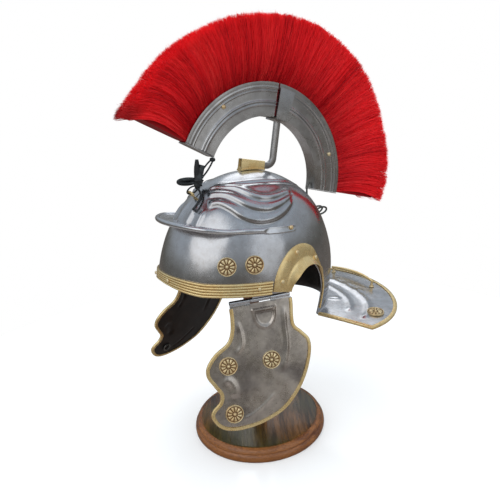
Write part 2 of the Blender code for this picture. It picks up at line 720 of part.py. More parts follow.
def make_clamp(parent):
    """A strap folded up round the crest box, which the rod carries."""
    half_angle = CLAMP_WIDTH / 2 / ((CREST_INNER + CREST_OUTER) / 2)
    reach = CREST_OUTER - 4 * MM
    inner = CREST_HALF_WIDTH + CREST_RIB + GAP
    outer = inner + CLAMP_SHEET
    floor = CREST_INNER - GAP
    section = [(outer, reach), (outer, floor - CLAMP_SHEET), (-outer, floor - CLAMP_SHEET), (-outer, reach),
               (-inner, reach), (-inner, floor), (inner, floor), (inner, reach)]
    rings = []
    for i in range(5):
        turn = CLAMP_ANGLE + half_angle * (2 * i / 4 - 1)
        rings.append([crest_point(radius, turn, across) for across, radius in section])
    solid("crest_clamp", *skin(rings), "steel", parent)


def make_rod_and_holder(parent):
    half = ROD_WIDTH / 2
    centre = crown_line(0) + GAP + HOLDER_WALL + HOLDER_RUNNING + ROD_DEPTH / 2
    sleeve_low = centre - ROD_DEPTH / 2 - HOLDER_RUNNING
    sleeve_high = centre + ROD_DEPTH / 2 + HOLDER_RUNNING
    steps = 4
    rings = []
    for i in range(steps + 1):
        along = HOLDER_FRONT + (HOLDER_REAR - HOLDER_FRONT) * i / steps
        rings.append((along, crown_line(along)))
    inner_half = half + HOLDER_RUNNING
    sections = []
    for along, floor in rings:
        foot = floor + GAP
        sections.append([Vector((HOLDER_HALF_WIDTH, along, foot)),
                         Vector((HOLDER_HALF_WIDTH, along, foot + 1.6 * MM)),
                         Vector((inner_half + HOLDER_WALL, along, foot + 2.2 * MM)),
                         Vector((inner_half + HOLDER_WALL, along, sleeve_high + HOLDER_WALL)),
                         Vector((-inner_half - HOLDER_WALL, along, sleeve_high + HOLDER_WALL)),
                         Vector((-inner_half - HOLDER_WALL, along, foot + 2.2 * MM)),
                         Vector((-HOLDER_HALF_WIDTH, along, foot + 1.6 * MM)),
                         Vector((-HOLDER_HALF_WIDTH, along, foot))])
    holder = solid("crest_holder", *skin(sections), "brass", parent)
    cut = [[Vector((x, along, z)) for x, z in ((inner_half, sleeve_low), (inner_half, sleeve_high),
                                               (-inner_half, sleeve_high), (-inner_half, sleeve_low))]
           for along in (HOLDER_FRONT - 5 * MM, HOLDER_REAR + 5 * MM)]
    join(holder, [solid("holder_mouth", *skin(cut), "brass", parent, helper=True)], "DIFFERENCE")
    top = CREST_LEVEL + math.sqrt((CREST_INNER - CLAMP_SHEET - 2 * GAP) ** 2
                                  - (ROD_AT + ROD_DEPTH / 2 - CREST_AT) ** 2) - GAP
    turn_centre = Vector((0, ROD_AT - ROD_DEPTH / 2 - ROD_BEND, centre + ROD_DEPTH / 2 + ROD_BEND))
    path = [(Vector((0, HOLDER_FRONT + 3 * MM, centre)), Vector((0, 0, 1)))]
    bends = 5
    for i in range(bends + 1):
        turn = math.pi / 2 * i / bends
        inward = Vector((0, -math.sin(turn), math.cos(turn)))
        path.append((turn_centre - inward * (ROD_BEND + ROD_DEPTH / 2), inward))
    path.append((Vector((0, ROD_AT, top)), Vector((0, -1, 0))))
    sections = []
    for point, inward in path:
        sections.append([point + Vector((x * half, 0, 0)) + inward * y * ROD_DEPTH / 2
                         for x, y in ((-1, -1), (1, -1), (1, 1), (-1, 1))])
    solid("crest_rod", *skin(sections), "steel", parent)


def make_plume(parent):
    """Hair in locks, fused to the block that fills the crest box."""
    block = CREST_HALF_WIDTH - CREST_SHEET - GAP
    rings = []
    steps = PLUME_LOCKS
    inset = GAP / CREST_INNER
    for i in range(steps + 1):
        share = i / steps
        turn = CREST_FRONT + inset + (CREST_REAR - CREST_FRONT - 2 * inset) * share
        lock = 1.0 if i % 2 else 0.93
        length = PLUME_LENGTH * read_table(PLUME_REACH, share) * (1.0 if i % 2 else 0.97)
        root = CREST_OUTER + 1.4 * MM
        flare = PLUME_FLARE * blend(0.86, 1, min(share, 1 - share) * 6)
        half = [(block, CREST_INNER + CREST_SHEET + GAP), (block, root)]
        half += [(block + (flare - block) * wide * lock, root + length * out) for out, wide in PLUME_SECTION]
        sweep = math.radians(2.0) * (1 - 2 * share)
        ring = []
        for across, radius in half + [(0, root + length * 1.01)] + [(-x, r) for x, r in reversed(half)]:
            out = max(radius - root, 0) / PLUME_LENGTH
            ring.append(crest_point(radius, turn + sweep * (4 * out * (1 - out) if out < 1 else 0), across))
        rings.append(ring)
    solid("plume", *skin(rings), "hair", parent)


def frame_on(normal):
    side = normal.orthogonal().normalized()
    return side, normal.cross(side)


def make_rosette(name, seat, normal, parent):
    """A cast flower: a rim, a ring of petals and a boss."""
    radius, height = ROSETTE_RADIUS, ROSETTE_HEIGHT
    profile = ((0, 0), (radius, 0), (0.92 * radius, 0.6 * height), (0.62 * radius, height),
               (0.28 * radius, 0.6 * height), (0, 1.3 * height))
    return solid(name, *turned(profile, 12, seat, normal), "brass", parent)


def make_rivet(name, seat, normal, parent, radius=RIVET_RADIUS):
    profile = ((0, 0), (radius, 0), (radius * 0.8, radius * 0.5), (0, radius * 0.72))
    return solid(name, *turned(profile, 8, seat, normal), "brass", parent)


def make_bowl_trim(parent):
    for side, hand in ((1, "left"), (-1, "right")):
        for i, (_, along, up) in enumerate(BOWL_ROSETTES):
            seat = bowl_point(side, along * MM, up * MM, GAP)
            make_rosette(f"bowl_rosette_{hand}_{i + 1}", seat, bowl_normal(*seat), parent)
        across, along = GUARD_ROSETTE
        seat = Vector((side * across, along, guard_height(across, along)))
        lift = guard_normal(side * across)
        make_rosette(f"guard_rosette_{hand}", seat + lift * GAP * 1.6, lift, parent)
        band = GAP * 2 + BAND_THICKNESS + BAND_RIDGE
        for i, degrees in enumerate((12, 73)):
            turn = math.radians(degrees)
            up = front_rim(turn) + BAND_HEIGHT * (0.4 if degrees < 40 else 0.55)
            seat = bowl_at(side * turn, up, band)
            normal = bowl_normal(seat.x, seat.y, 0)
            make_rivet(f"band_rivet_{hand}_{i + 1}", seat, normal, parent, RIVET_RADIUS * 0.9)
        sheet = GAP * 2 + EAR_GUARD_SHEET
        for i, (along, up) in enumerate(((-6, 11.1), (11.6, 43), (41.6, 36.5))):
            seat = bowl_point(side, along * MM, up * MM, sheet + 0.25 * MM)
            make_rivet(f"ear_rivet_{hand}_{i + 1}", seat, bowl_normal(*seat), parent)
        up = BROW_LEVEL + BROW_RISE * (4 * MM - BROW_ARM_FROM)
        seat = bowl_point(side, 4 * MM, up, BROW_TAB + GAP * 4)
        make_rivet(f"brow_rivet_{hand}", seat, bowl_normal(*seat), parent)
        for i, degrees in enumerate((-40.5, 66)):
            turn = math.radians(degrees)
            seat = crest_point(CREST_OUTER - CREST_RIVET_IN, turn, side * (CREST_HALF_WIDTH + GAP))
            make_rivet(f"crest_rivet_{hand}_{i + 1}", seat, Vector((side, 0, 0)), parent)


def front_loop_normal():
    return bowl_normal(*bowl_at(0, FRONT_LOOP_LEVEL * BOWL_HEIGHT))


def front_loop_centre():
    """The ring stands on its edge, just off the bowl."""
    return bowl_at(0, FRONT_LOOP_LEVEL * BOWL_HEIGHT, GAP + WIRE_RADIUS + FRONT_LOOP_HEIGHT / 2)


def make_loops(parent):
    """Wire loops that tie and catch the crest."""
    ring = long_ring(front_loop_centre(), Vector((1, 0, 0)), 5 * MM, front_loop_normal(),
                     FRONT_LOOP_HEIGHT / 2, 12)
    rod("front_loop", ring, WIRE_RADIUS, 6, "brass", parent, closed=True)
    for name, across in (("rear_loop_left", 4.5 * MM), ("rear_loop_right", -4.5 * MM)):
        up = 80 * MM
        seat = bowl_at(math.pi, up, WIRE_RADIUS + GAP * 0.2)
        normal = Vector((0, 1, 0.25)).normalized()
        rise = Vector((0, 0, 1))
        middle = seat + Vector((across, 0, 0)) + normal * 9 * MM
        ring = [middle - normal * math.cos(a) * 9 * MM + rise * math.sin(a) * 4.5 * MM
                for a in (2 * math.pi * i / 14 for i in range(14))]
        rod(name, ring, WIRE_RADIUS, 6, "steel", parent, closed=True)
    corner = crest_point(CREST_INNER - WIRE_RADIUS - GAP, CREST_REAR - math.radians(6), 0)
    foot = bowl_at(math.pi, 96 * MM, GAP + WIRE_RADIUS)
    marks = [corner, crest_point(CREST_INNER - 4 * MM, CREST_REAR, 0), foot]
    rod("rear_hook", smooth_path(marks, 4), WIRE_RADIUS, 6, "steel", parent)


def make_handle(parent):
    """A carrying handle across the neck guard, on two studs."""
    for side, hand in ((1, "left"), (-1, "right")):
        lift = guard_normal(side * HANDLE_HALF_SPAN)
        floor = guard_height(HANDLE_HALF_SPAN, HANDLE_AT)
        seat = Vector((side * HANDLE_HALF_SPAN, HANDLE_AT, floor + GAP * 1.6))
        profile = ((0, 0), (3.4 * MM, 0), (3.4 * MM, 1.2 * MM), (1.7 * MM, 2 * MM),
                   (1.7 * MM, HANDLE_LIFT - 0.6 * MM), (0, HANDLE_LIFT))
        solid(f"handle_stud_{hand}", *turned(profile, 10, seat, lift), "brass", parent)
    steps = 14
    path = []
    for i in range(steps + 1):
        across = HANDLE_HALF_SPAN * 1.07 * (2 * i / steps - 1)
        bow = 1 - (across / HANDLE_HALF_SPAN) ** 2
        floor = guard_height(HANDLE_HALF_SPAN, HANDLE_AT)
        up = floor + HANDLE_LIFT + HANDLE_END_RADIUS + GAP * 3 + 2 * MM * bow
        path.append(Vector((across, HANDLE_AT - GUARD_SLOPE * HANDLE_LIFT + 6 * MM * bow, up)))
    swell = 0.9 * MM
    rod("carry_handle", path, lambda t: HANDLE_END_RADIUS + swell * math.sin(math.pi * t), 8, "brass", parent)


def hinge_frame(side, swing, up):
    """(rear end, along, down the piece, outward) of a cheek piece's hinge."""
    drop = Vector((0, 0, -HINGE_DROP))
    rear = HINGE_REAR + drop
    front = HINGE_FRONT + drop
    rear.x *= side
    front.x *= side
    along = (rear - front).normalized()
    down = -(up - along * up.dot(along)).normalized()
    out = along.cross(down).normalized()
    out = out if out.x * side > 0 else -out
    return (rear, along, down * math.cos(swing) + out * math.sin(swing),
            out * math.cos(swing) - down * math.sin(swing), (rear - front).length)


def knuckle(name, start, end, axis, parent, kind, helper):
    """A tube along the hinge axis, from start to end, bored for the pin."""
    sides = 12
    side, other = frame_on(axis)
    rings = []
    for radius, place in ((KNUCKLE_RADIUS, start), (KNUCKLE_RADIUS, end), (PIN_RADIUS + PIN_RUNNING, end),
                          (PIN_RADIUS + PIN_RUNNING, start)):
        rings.append([axis * place + (side * math.cos(a) + other * math.sin(a)) * radius
                      for a in (2 * math.pi * j / sides for j in range(sides))])
    return solid(name, *skin(rings, closed=True), kind, parent, helper)


def make_cheek(side, hand, swing, helmet, up):
    rear, along, down, out, length = hinge_frame(side, swing, up)
    hinge = bpy.data.objects.new(f"cheek_hinge_{hand}", None)
    bpy.context.scene.collection.objects.link(hinge)
    hinge.parent = helmet
    across = -out * side
    turn = Matrix((along, across, -down)).transposed().to_4x4()
    hinge.matrix_local = Matrix.Translation(rear) @ turn

    def local(u, w, n=0.0):
        return Vector((u, -side * n, -w))

    plate_top = KNUCKLE_RADIUS * 0.4
    marks = [Vector((u * CHEEK_WIDTH, w * CHEEK_LENGTH, 0)) for u, w in CHEEK_OUTLINE]
    outline = [Vector((marks[0].x, plate_top + KNUCKLE_RADIUS, 0)), *smooth_path(marks[1:-1], 2),
               Vector((marks[-1].x, plate_top + KNUCKLE_RADIUS, 0))]
    half = CHEEK_SHEET / 2
    rings = [[local(p.x, p.y, n) for p in outline] for n in (-half, half)]
    plate = solid(f"cheek_plate_{hand}", *skin(rings), "steel", hinge)
    parts = []
    third = length / 3
    for name, start, end in (("front", -length, -length + third - GAP), ("rear", -third + GAP, 0)):
        parts.append(knuckle(f"knuckle_{name}_{hand}", start, end, Vector((1, 0, 0)), hinge, "steel", True))
        near, far = KNUCKLE_RADIUS * 0.75, plate_top + KNUCKLE_RADIUS + 2 * MM
        corners = ((start, near), (end, near), (end, far), (start, far))
        tab = [[local(u, w, n) for u, w in corners] for n in (-half, half)]
        parts.append(solid(f"hinge_tab_{name}_{hand}", *skin(tab), "steel", hinge, helper=True))
    for name, table in CHEEK_LINES.items():
        path = smooth_path([Vector((u * CHEEK_WIDTH, w * CHEEK_LENGTH, 0)) for u, w in table], 2)
        path = [local(p.x, p.y, half) for p in path]
        normals = [local(0, 0, 1)] * len(path)
        parts.append(raised_line(f"cheek_{name}_{hand}", path, normals, 5 * MM, 1.3 * MM, 0.6 * MM, hinge))
    parts.append(raised_shield(f"cheek_shield_{hand}", local, half, hinge))
    join(plate, parts)
    make_cheek_edging(hand, outline, local, hinge)
    for i, (u, w) in enumerate(CHEEK_ROSETTES):
        seat = local(u * CHEEK_WIDTH, w * CHEEK_LENGTH, half + GAP)
        make_rosette(f"cheek_rosette_{hand}_{i + 1}", seat, local(0, 0, 1), hinge)
    u, w = CHEEK_ROSETTES[2]
    centre = local(u * CHEEK_WIDTH, w * CHEEK_LENGTH, -half - GAP - WIRE_RADIUS)
    ring = [centre + local(math.cos(a) * 5 * MM, math.sin(a) * 5 * MM + 3 * MM) for a in
            (2 * math.pi * i / 12 for i in range(12))]
    rod(f"tie_ring_{hand}", ring, WIRE_RADIUS * 0.9, 6, "steel", hinge, closed=True)
    make_hinge_leaf(side, hand, length, helmet, up)


def raised_shield(name, local, half, parent):
    """The pressed D under the hinge: a raised rim with a straight top."""
    centre_u, centre_w = -0.300 * CHEEK_WIDTH, 0.077 * CHEEK_LENGTH
    wide, tall, band = 0.125 * CHEEK_WIDTH, 0.155 * CHEEK_LENGTH, 2.6 * MM
    rings = []
    count = 14
    for shrink, lift in ((0, -0.5 * MM), (0, 0.5 * MM), (band * 0.5, 1.6 * MM), (band, 0.5 * MM),
                         (band, -0.5 * MM)):
        ring = []
        for i in range(count + 1):
            turn = math.pi * i / count
            ring.append(local(centre_u + (wide - shrink) * math.cos(turn),
                              centre_w + shrink + (tall - 2 * shrink) * math.sin(turn) ** 0.8, half + lift))
        rings.append(ring)
    return solid(name, *skin(rings, closed=True), "steel", parent, helper=True)


def make_cheek_edging(hand, outline, local, parent):
    path = outline[1:-1]
    outs = []
    for i, point in enumerate(path):
        along = (path[min(i + 1, len(path) - 1)] - path[max(i - 1, 0)]).normalized()
        outs.append(Vector((-along.y, along.x, 0)))
    lifts = [local(0, 0, 1)] * len(path)
    points = [local(p.x, p.y) for p in path]
    rings = channel(points, [local(o.x, o.y) for o in outs], lifts, CHEEK_SHEET, EDGING_WIDTH * 0.75)
    solid(f"cheek_edging_{hand}", *skin(rings), "brass", parent)


def make_hinge_leaf(side, hand, length, helmet, up):
    """The fixed middle knuckle with the pin through it, on a leaf that rises inside the bowl."""
    rear, along, down, out, _ = hinge_frame(side, 0, up)
    third = length / 3
    sides = 12
    side_axis, other = frame_on(along)
    place = rear - along * (2 * third)
    rings = []
    for radius, step in ((PIN_RADIUS, -third), (PIN_RADIUS, 0),
                         (KNUCKLE_RADIUS, GAP), (KNUCKLE_RADIUS, third - GAP),
                         (PIN_RADIUS, third), (PIN_RADIUS, 2 * third)):
        rings.append([place + along * step + (side_axis * math.cos(a) + other * math.sin(a)) * radius
                      for a in (2 * math.pi * j / sides for j in range(sides))])
    leaf = solid(f"hinge_{hand}", *skin(rings), "steel", helmet)
    rise = 11 * MM
    thick = 0.6 * MM
    section = []
    for share in (0.08, 0.5, 0.92):
        foot = place + along * third * share
        wall = bowl_point(side, foot.y, foot.z + rise, -SHEET - GAP * 4 - thick)
        section.append([foot + out * thick, foot - out * thick, wall - out * thick, wall + out * thick])
    rail = solid(f"hinge_leaf_{hand}", *skin(section), "steel", helmet, helper=True)
    join(leaf, [rail])


def long_ring(centre, long_way, long, short_way, short, steps):
    """Points round an oval, from its centre and its two half axes."""
    return [centre + long_way * long * math.cos(a) + short_way * short * math.sin(a)
            for a in (2 * math.pi * i / steps for i in range(steps))]


def make_thong(parent):
    """A leather thong knotted between the crest's front end and the loop on the bowl."""
    knot = front_loop_centre() + Vector((0, 7, 15)) * MM
    radius = THONG_RADIUS
    body = turned(((0, -5 * radius), (1.9 * radius, -3.4 * radius), (2.7 * radius, 0),
                   (2 * radius, 3.4 * radius), (0, 5 * radius)), 8, knot)
    item = solid("thong", *body, "leather", parent)
    across = Vector((1, 0, 0))
    parts = []
    lump = crest_point(CREST_INNER - 3.4 * MM, CREST_FRONT - math.radians(2.4), 0)
    reach = (lump - knot) / 2
    beside = across.cross(reach).normalized()
    tied = long_ring(knot + reach, reach.normalized(), reach.length, beside, 2.6 * MM, 12)
    parts.append(rod("thong_upper_turn", tied, radius * 0.5, 6, "leather", parent, closed=True, helper=True))
    eye = front_loop_centre() + front_loop_normal() * FRONT_LOOP_HEIGHT / 2
    foot = knot + Vector((0, 0, -3.6 * radius))
    reach = (eye - foot) / 2 * 1.24
    beside = across.cross(reach).normalized()
    tied = long_ring(foot + reach, reach.normalized(), reach.length, beside, 3.5 * MM, 12)
    parts.append(rod("thong_lower_turn", tied, radius * 0.45, 6, "leather", parent, closed=True, helper=True))
    way = Vector((0, -1, -0.14)).normalized()
    bow = long_ring(knot + way * 13 * MM, way, 10.4 * MM, across.cross(way), 3.1 * MM, 12)
    parts.append(rod("thong_bow", bow, radius * 0.95, 6, "leather", parent, closed=True, helper=True))
    stub = [knot + Vector((0, y, z)) * MM for y, z in ((0, 3), (-2, 12), (-3.4, 23))]
    parts.append(rod("thong_stub", stub, lambda t: radius * (1.6 - t), 6, "leather", parent, helper=True))
    lobe = [knot + Vector((1, y, z)) * MM for y, z in ((0, 2), (2, 11), (3, 17.5))]
    parts.append(rod("thong_lobe", lobe, lambda t: radius * (1.5 - 0.6 * t), 6, "leather", parent,
                     helper=True))
    wrap = [lump + across * step * 4 * MM for step in (-1, -0.5, 0.5, 1)]
    parts.append(rod("thong_wrap", wrap, lambda t: 2.5 * MM if 0.2 < t < 0.8 else 1.6 * MM, 8, "leather",
                     parent, helper=True))
    tail = [foot]
    tail += [bowl_point(1, along * BOWL_HALF_LENGTH, up * BOWL_HEIGHT, 3.2 * MM) for along, up in THONG_TAIL]
    parts.append(rod("thong_tail", smooth_path(tail, 2), radius * 0.75, 6, "leather", parent, helper=True))
    join(item, parts)


def main():
    clear_scene()
    helmet = bpy.data.objects.new("helmet", None)
    bpy.context.scene.collection.objects.link(helmet)
    to_world = Matrix.Translation(HELMET_CENTRE) @ Matrix.Rotation(HELMET_PITCH, 4, "X")
    helmet.matrix_world = to_world
    up = Matrix.Rotation(-HELMET_PITCH, 3, "X") @ Vector((0, 0, 1))
    make_stand(to_world)
    bowl = make_bowl(helmet)
    bowl_lines(bowl, helmet)
    make_band(helmet)
    make_brow_guard(helmet)
    for side, hand in ((1, "left"), (-1, "right")):
        make_ear_guard(side, hand, helmet)
    make_neck_edging(helmet)
    make_handle(helmet)
    make_crest_box(helmet)
    make_clamp(helmet)
    make_rod_and_holder(helmet)
    make_plume(helmet)
    make_loops(helmet)
    make_thong(helmet)
    make_bowl_trim(helmet)
    make_cheek(1, "left", LEFT_SWING, helmet, up)
    make_cheek(-1, "right", RIGHT_SWING, helmet, up)


main()
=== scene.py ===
"""Looks of a Roman legionary helmet with a red hair crest, on a round wooden stand.

Lengths are in millimetres in the helmet's own frame, until make() turns them into metres in the shared one.
The origin is the centre of the bowl at brow level. -Y is the front, +X the wearer's left and +Z the crown.
"""

import math

import bpy
import numpy as np
from mathutils import Matrix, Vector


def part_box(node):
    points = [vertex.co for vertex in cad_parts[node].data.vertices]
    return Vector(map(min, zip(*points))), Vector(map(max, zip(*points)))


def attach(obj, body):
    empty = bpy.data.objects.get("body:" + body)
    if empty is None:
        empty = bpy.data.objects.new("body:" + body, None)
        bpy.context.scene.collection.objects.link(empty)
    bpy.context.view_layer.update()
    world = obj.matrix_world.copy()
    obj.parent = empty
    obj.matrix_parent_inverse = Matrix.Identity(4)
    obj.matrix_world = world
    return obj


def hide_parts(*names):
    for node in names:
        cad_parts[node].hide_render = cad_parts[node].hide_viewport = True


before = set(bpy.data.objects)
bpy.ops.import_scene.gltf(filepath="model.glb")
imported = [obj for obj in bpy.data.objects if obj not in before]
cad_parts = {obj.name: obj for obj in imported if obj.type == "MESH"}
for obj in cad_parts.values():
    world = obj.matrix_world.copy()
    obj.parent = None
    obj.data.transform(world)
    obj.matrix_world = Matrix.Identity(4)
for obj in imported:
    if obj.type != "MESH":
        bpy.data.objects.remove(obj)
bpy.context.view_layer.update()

GAP = 0.3  # between a piece and what it sits on
WIRE = 1.2  # radius of the wire loops and of the rear hook
PITCH = math.radians(-11.5)  # how far the helmet leans on its stand
CENTRE = np.array([0, -2.1, 221.8])  # the helmet's origin in the shared frame
HALF_WIDTH, HALF_LENGTH, HEIGHT, SHEET = 85.5, 113.0, 129.7, 1.3
TAPER = 0.035  # how much the nape's wall draws in
CROWN_FROM, CROWN_DROP = 0.73, 3.0  # the crown is flattened above this share of the height, by this much
RIM_FRONT, RIM_TEMPLE, RIM_SIDE = -7.5, -12.5, -0.5  # the rim's heights
EAR_FRONT, EAR_TOP_AT, EAR_HEIGHT, NECK_CORNER = 6.4, 32.0, 31.5, 66.4  # the ear opening, along and up
EAR_GUARD_AT, EAR_GUARD_HALF, EAR_GUARD_TOP = 22, 38.2, 52.8  # middle, half length and top
BAND_HEIGHT, BAND_RIBS = 15.5, 5
BROW_LEVEL, BROW_RISE, BROW_FROM = 61, 0.117, -62  # the brow guard rises towards the back from BROW_FROM on
GUARD = dict(slope=0.2, level=-28.8, widest=98.1, half=129.8, reach=98.1, square=2.14, droop=4.3)
GUARD_ROSETTE = (103.3, 126.5)
LOOP_LEVEL, LOOP_HALF = 90, 3.25  # the front loop's height on the bowl, and half its own
CREST_AT, CREST_LEVEL, CREST_OUTER, CREST_INNER, CREST_HALF = 5.3, 114.5, 110.2, 73.3, 9.0
CREST_FRONT, CREST_REAR = math.radians(-72.5), math.radians(93.5)
CREST_WALL, CREST_BULGE = 1.4, 1.1  # the box's sheet, and how far its rolled flange stands out
PLUME_LENGTH, LOCKS, RIBBONS = 80, 74, 17500  # ribbons in each of the three batches of hair
CHEEK_LENGTH, CHEEK_WIDTH, KNUCKLE, HINGE_DROP = 144.3, 107.2, 2.6, 3.9
BASE_STEPS, EDGE_ROWS = 180, 18  # steps round the base, and rows of faces that are its moulded edge
FLOOR_RADIUS = 640
X_WAY = np.array([1.0, 0, 0])
HANDS = ((1, "left"), (-1, "right"))

# Embossed brows on the bowl: (along, up) as shares of half its length and of its height
BROWS = (
    ((-0.628, 0.767), (-0.566, 0.803), (-0.495, 0.818), (-0.424, 0.817), (-0.354, 0.793),
     (-0.274, 0.767), (-0.180, 0.762), (-0.065, 0.781), (0.078, 0.823), (0.174, 0.844)),
    ((-0.661, 0.712), (-0.601, 0.741), (-0.523, 0.749), (-0.454, 0.727), (-0.379, 0.696),
     (-0.294, 0.676), (-0.175, 0.676), (-0.058, 0.709), (0.074, 0.771), (0.155, 0.817)),
    ((-0.688, 0.643), (-0.627, 0.672), (-0.577, 0.675), (-0.509, 0.646), (-0.451, 0.610),
     (-0.368, 0.583), (-0.257, 0.578), (-0.118, 0.609), (0.012, 0.673), (0.152, 0.782)),
)
# The crease over the brows: (degrees round from the front, height)
SHOULDER = ((0, 103.5), (14.8, 106.4), (26.4, 109.2), (36.7, 112.1), (47.4, 114.8), (61.1, 117.3),
            (78.5, 119.4), (104.2, 120.7), (129.7, 120.0), (144, 117), (164, 115), (180, 114.5))
# Flutes over the forehead: (degrees from the middle, both ends as shares of the height, rise)
FLUTES = ((0, 0.50, 0.66, 0.85), (14, 0.49, 0.65, 1.7), (25, 0.48, 0.62, 1.7), (7, 0.50, 0.58, -0.7),
          (19.5, 0.49, 0.57, -0.7))
NAPE_RIBS = (0.22, 0.42, 0.62, 0.82)
# Raised arcs on the neck guard: (marks across and along, rise, width), and the middles of its small rings
GUARD_ARCS = (
    (((-108, 103), (-95, 122), (-64, 142), (0, 152), (64, 142), (95, 122), (108, 103)), 1.6, 3.0),
    (((-84, 100), (-70, 114), (-44, 127), (0, 134), (44, 127), (70, 114), (84, 100)), 1.3, 2.6),
)
GUARD_RINGS = ((40, 153), (12, 158), (-12, 158), (-40, 153), (43, 112), (-43, 112))
# The hair's length over the crest's arc: (share of the arc, share of PLUME_LENGTH)
PLUME_REACH = ((0.0, 0.95), (0.06, 0.87), (0.13, 0.83), (0.25, 0.82), (0.4, 0.85), (0.52, 0.90),
               (0.7, 0.93), (0.82, 0.90), (0.9, 0.95), (0.96, 0.96), (1.0, 0.92))
# A cheek piece's outline from the front of its hinge round to the rear: (share of width, share of length)
CHEEK_OUTLINE = ((-0.650, 0.020), (-0.651, 0.117), (-0.674, 0.224), (-0.732, 0.301), (-0.872, 0.367),
                 (-0.967, 0.447), (-0.984, 0.523), (-0.924, 0.612), (-0.876, 0.684), (-0.899, 0.744),
                 (-0.979, 0.795), (-1.000, 0.847), (-0.947, 0.922), (-0.850, 0.967), (-0.691, 0.984),
                 (-0.467, 0.966), (-0.230, 0.900), (-0.061, 0.787), (0.056, 0.657), (0.136, 0.504),
                 (0.146, 0.391), (0.076, 0.315), (-0.001, 0.240), (0.011, 0.081), (0.013, 0.020))
# Its pressed lines: (rise, width, marks): upright, along the front, round the notch and at the foot
CHEEK_LINES = (
    (1.1, 2.4, ((-0.080, 0.074), (-0.095, 0.224), (-0.100, 0.374), (-0.140, 0.504), (-0.195, 0.614))),
    (0.8, 2.2, ((-0.600, 0.134), (-0.575, 0.244), (-0.590, 0.334), (-0.660, 0.404))),
    (1.2, 4.0, ((-0.825, 0.564), (-0.755, 0.599), (-0.725, 0.664), (-0.755, 0.734))),
    (0.6, 2.2, ((-0.700, 0.914), (-0.560, 0.884), (-0.400, 0.814), (-0.290, 0.749))),
)
CHEEK_ROSETTES = ((-0.758, 0.471), (-0.294, 0.488), (-0.769, 0.852))
BOWL_ROSETTES = ((-66.8, 24.1), (-39.4, 28.5))
SWING = {"left": math.radians(14), "right": math.radians(22)}  # outwards from hanging, at rest


# ---- small tools

def unit(v):
    """The vectors, each made one long."""
    v = np.asarray(v, float)
    return v / np.maximum(np.linalg.norm(v, axis=-1, keepdims=True), 1e-12)


def ease(low, high, t):
    """From low at t = 0 to high at t = 1, with a smooth start and end."""
    t = np.clip(t, 0, 1)
    return low + (high - low) * t * t * (3 - 2 * t)


def hump(distance, width):
    """1 at no distance, and next to nothing beyond about twice the width."""
    return np.exp(-(distance / width) ** 2)


def fade(share, start, end):
    """1 along a line, and down to 0 over these shares of it at its two ends."""
    return ease(0, 1, share / start) * ease(0, 1, (1 - share) / end)


def spline(marks, steps):
    """Points on a smooth curve through the marks, with so many steps between each pair."""
    marks = np.asarray(marks, float)
    p = np.vstack([2 * marks[0] - marks[1], marks, 2 * marks[-1] - marks[-2]])
    t = (np.arange(steps) / steps)[:, None]
    out = []
    for a, b, c, d in zip(p, p[1:], p[2:], p[3:]):
        out.append(0.5 * (2 * b + (c - a) * t + (2 * a - 5 * b + 4 * c - d) * t ** 2
                          + (3 * b - a - 3 * c + d) * t ** 3))
    return np.vstack([*out, marks[-1:]])


def to_world(points):
    """Points of the helmet's frame in the shared frame, still in millimetres."""
    points = np.asarray(points, float)
    c, s = math.cos(PITCH), math.sin(PITCH)
    x, y, z = points[..., 0], points[..., 1], points[..., 2]
    return np.stack([x, c * y - s * z, s * y + c * z], -1) + CENTRE


def around(a, b):
    """Faces between rows of points that close round."""
    return np.stack([a, np.roll(a, -1, -1), np.roll(b, -1, -1), b], -1).reshape(-1, 4)


def across_grid(index):
    """Faces of an open grid of points."""
    return np.stack([index[:-1, :-1], index[1:, :-1], index[1:, 1:], index[:-1, 1:]], -1).reshape(-1, 4)


def mirror(half):
    """A profile's mirror image, in the opposite order."""
    return [(-x, y) for x, y in half[::-1]]


def skin(rings, loop=False):
    """Points and faces of a skin over closed rings of equal length. Open ends are capped."""
    rings = np.asarray(rings, float)
    n, m = rings.shape[:2]
    index = np.arange(n * m).reshape(n, m)
    a = index if loop else index[:-1]
    b = np.roll(index, -1, 0) if loop else index[1:]
    faces = [around(a, b)]
    if not loop:
        faces += [index[:1, ::-1], index[-1:]]
    return rings.reshape(-1, 3), faces


def combine(*parts):
    """The points and faces of several parts as one."""
    points = []
    faces = []
    count = 0
    for part_points, part_faces in parts:
        points.append(part_points)
        faces += [f + count for f in part_faces]
        count += len(part_points)
    return np.vstack(points), faces


def outward(points, faces):
    """The faces, turned over if they look inward."""
    volume = 0.0
    for f in faces:
        for i in range(1, f.shape[1] - 1):
            a, b, c = points[f[:, 0]], points[f[:, i]], points[f[:, i + 1]]
            volume += np.einsum("ij,ij->", a, np.cross(b, c))
    return faces if volume > 0 else [f[:, ::-1] for f in faces]


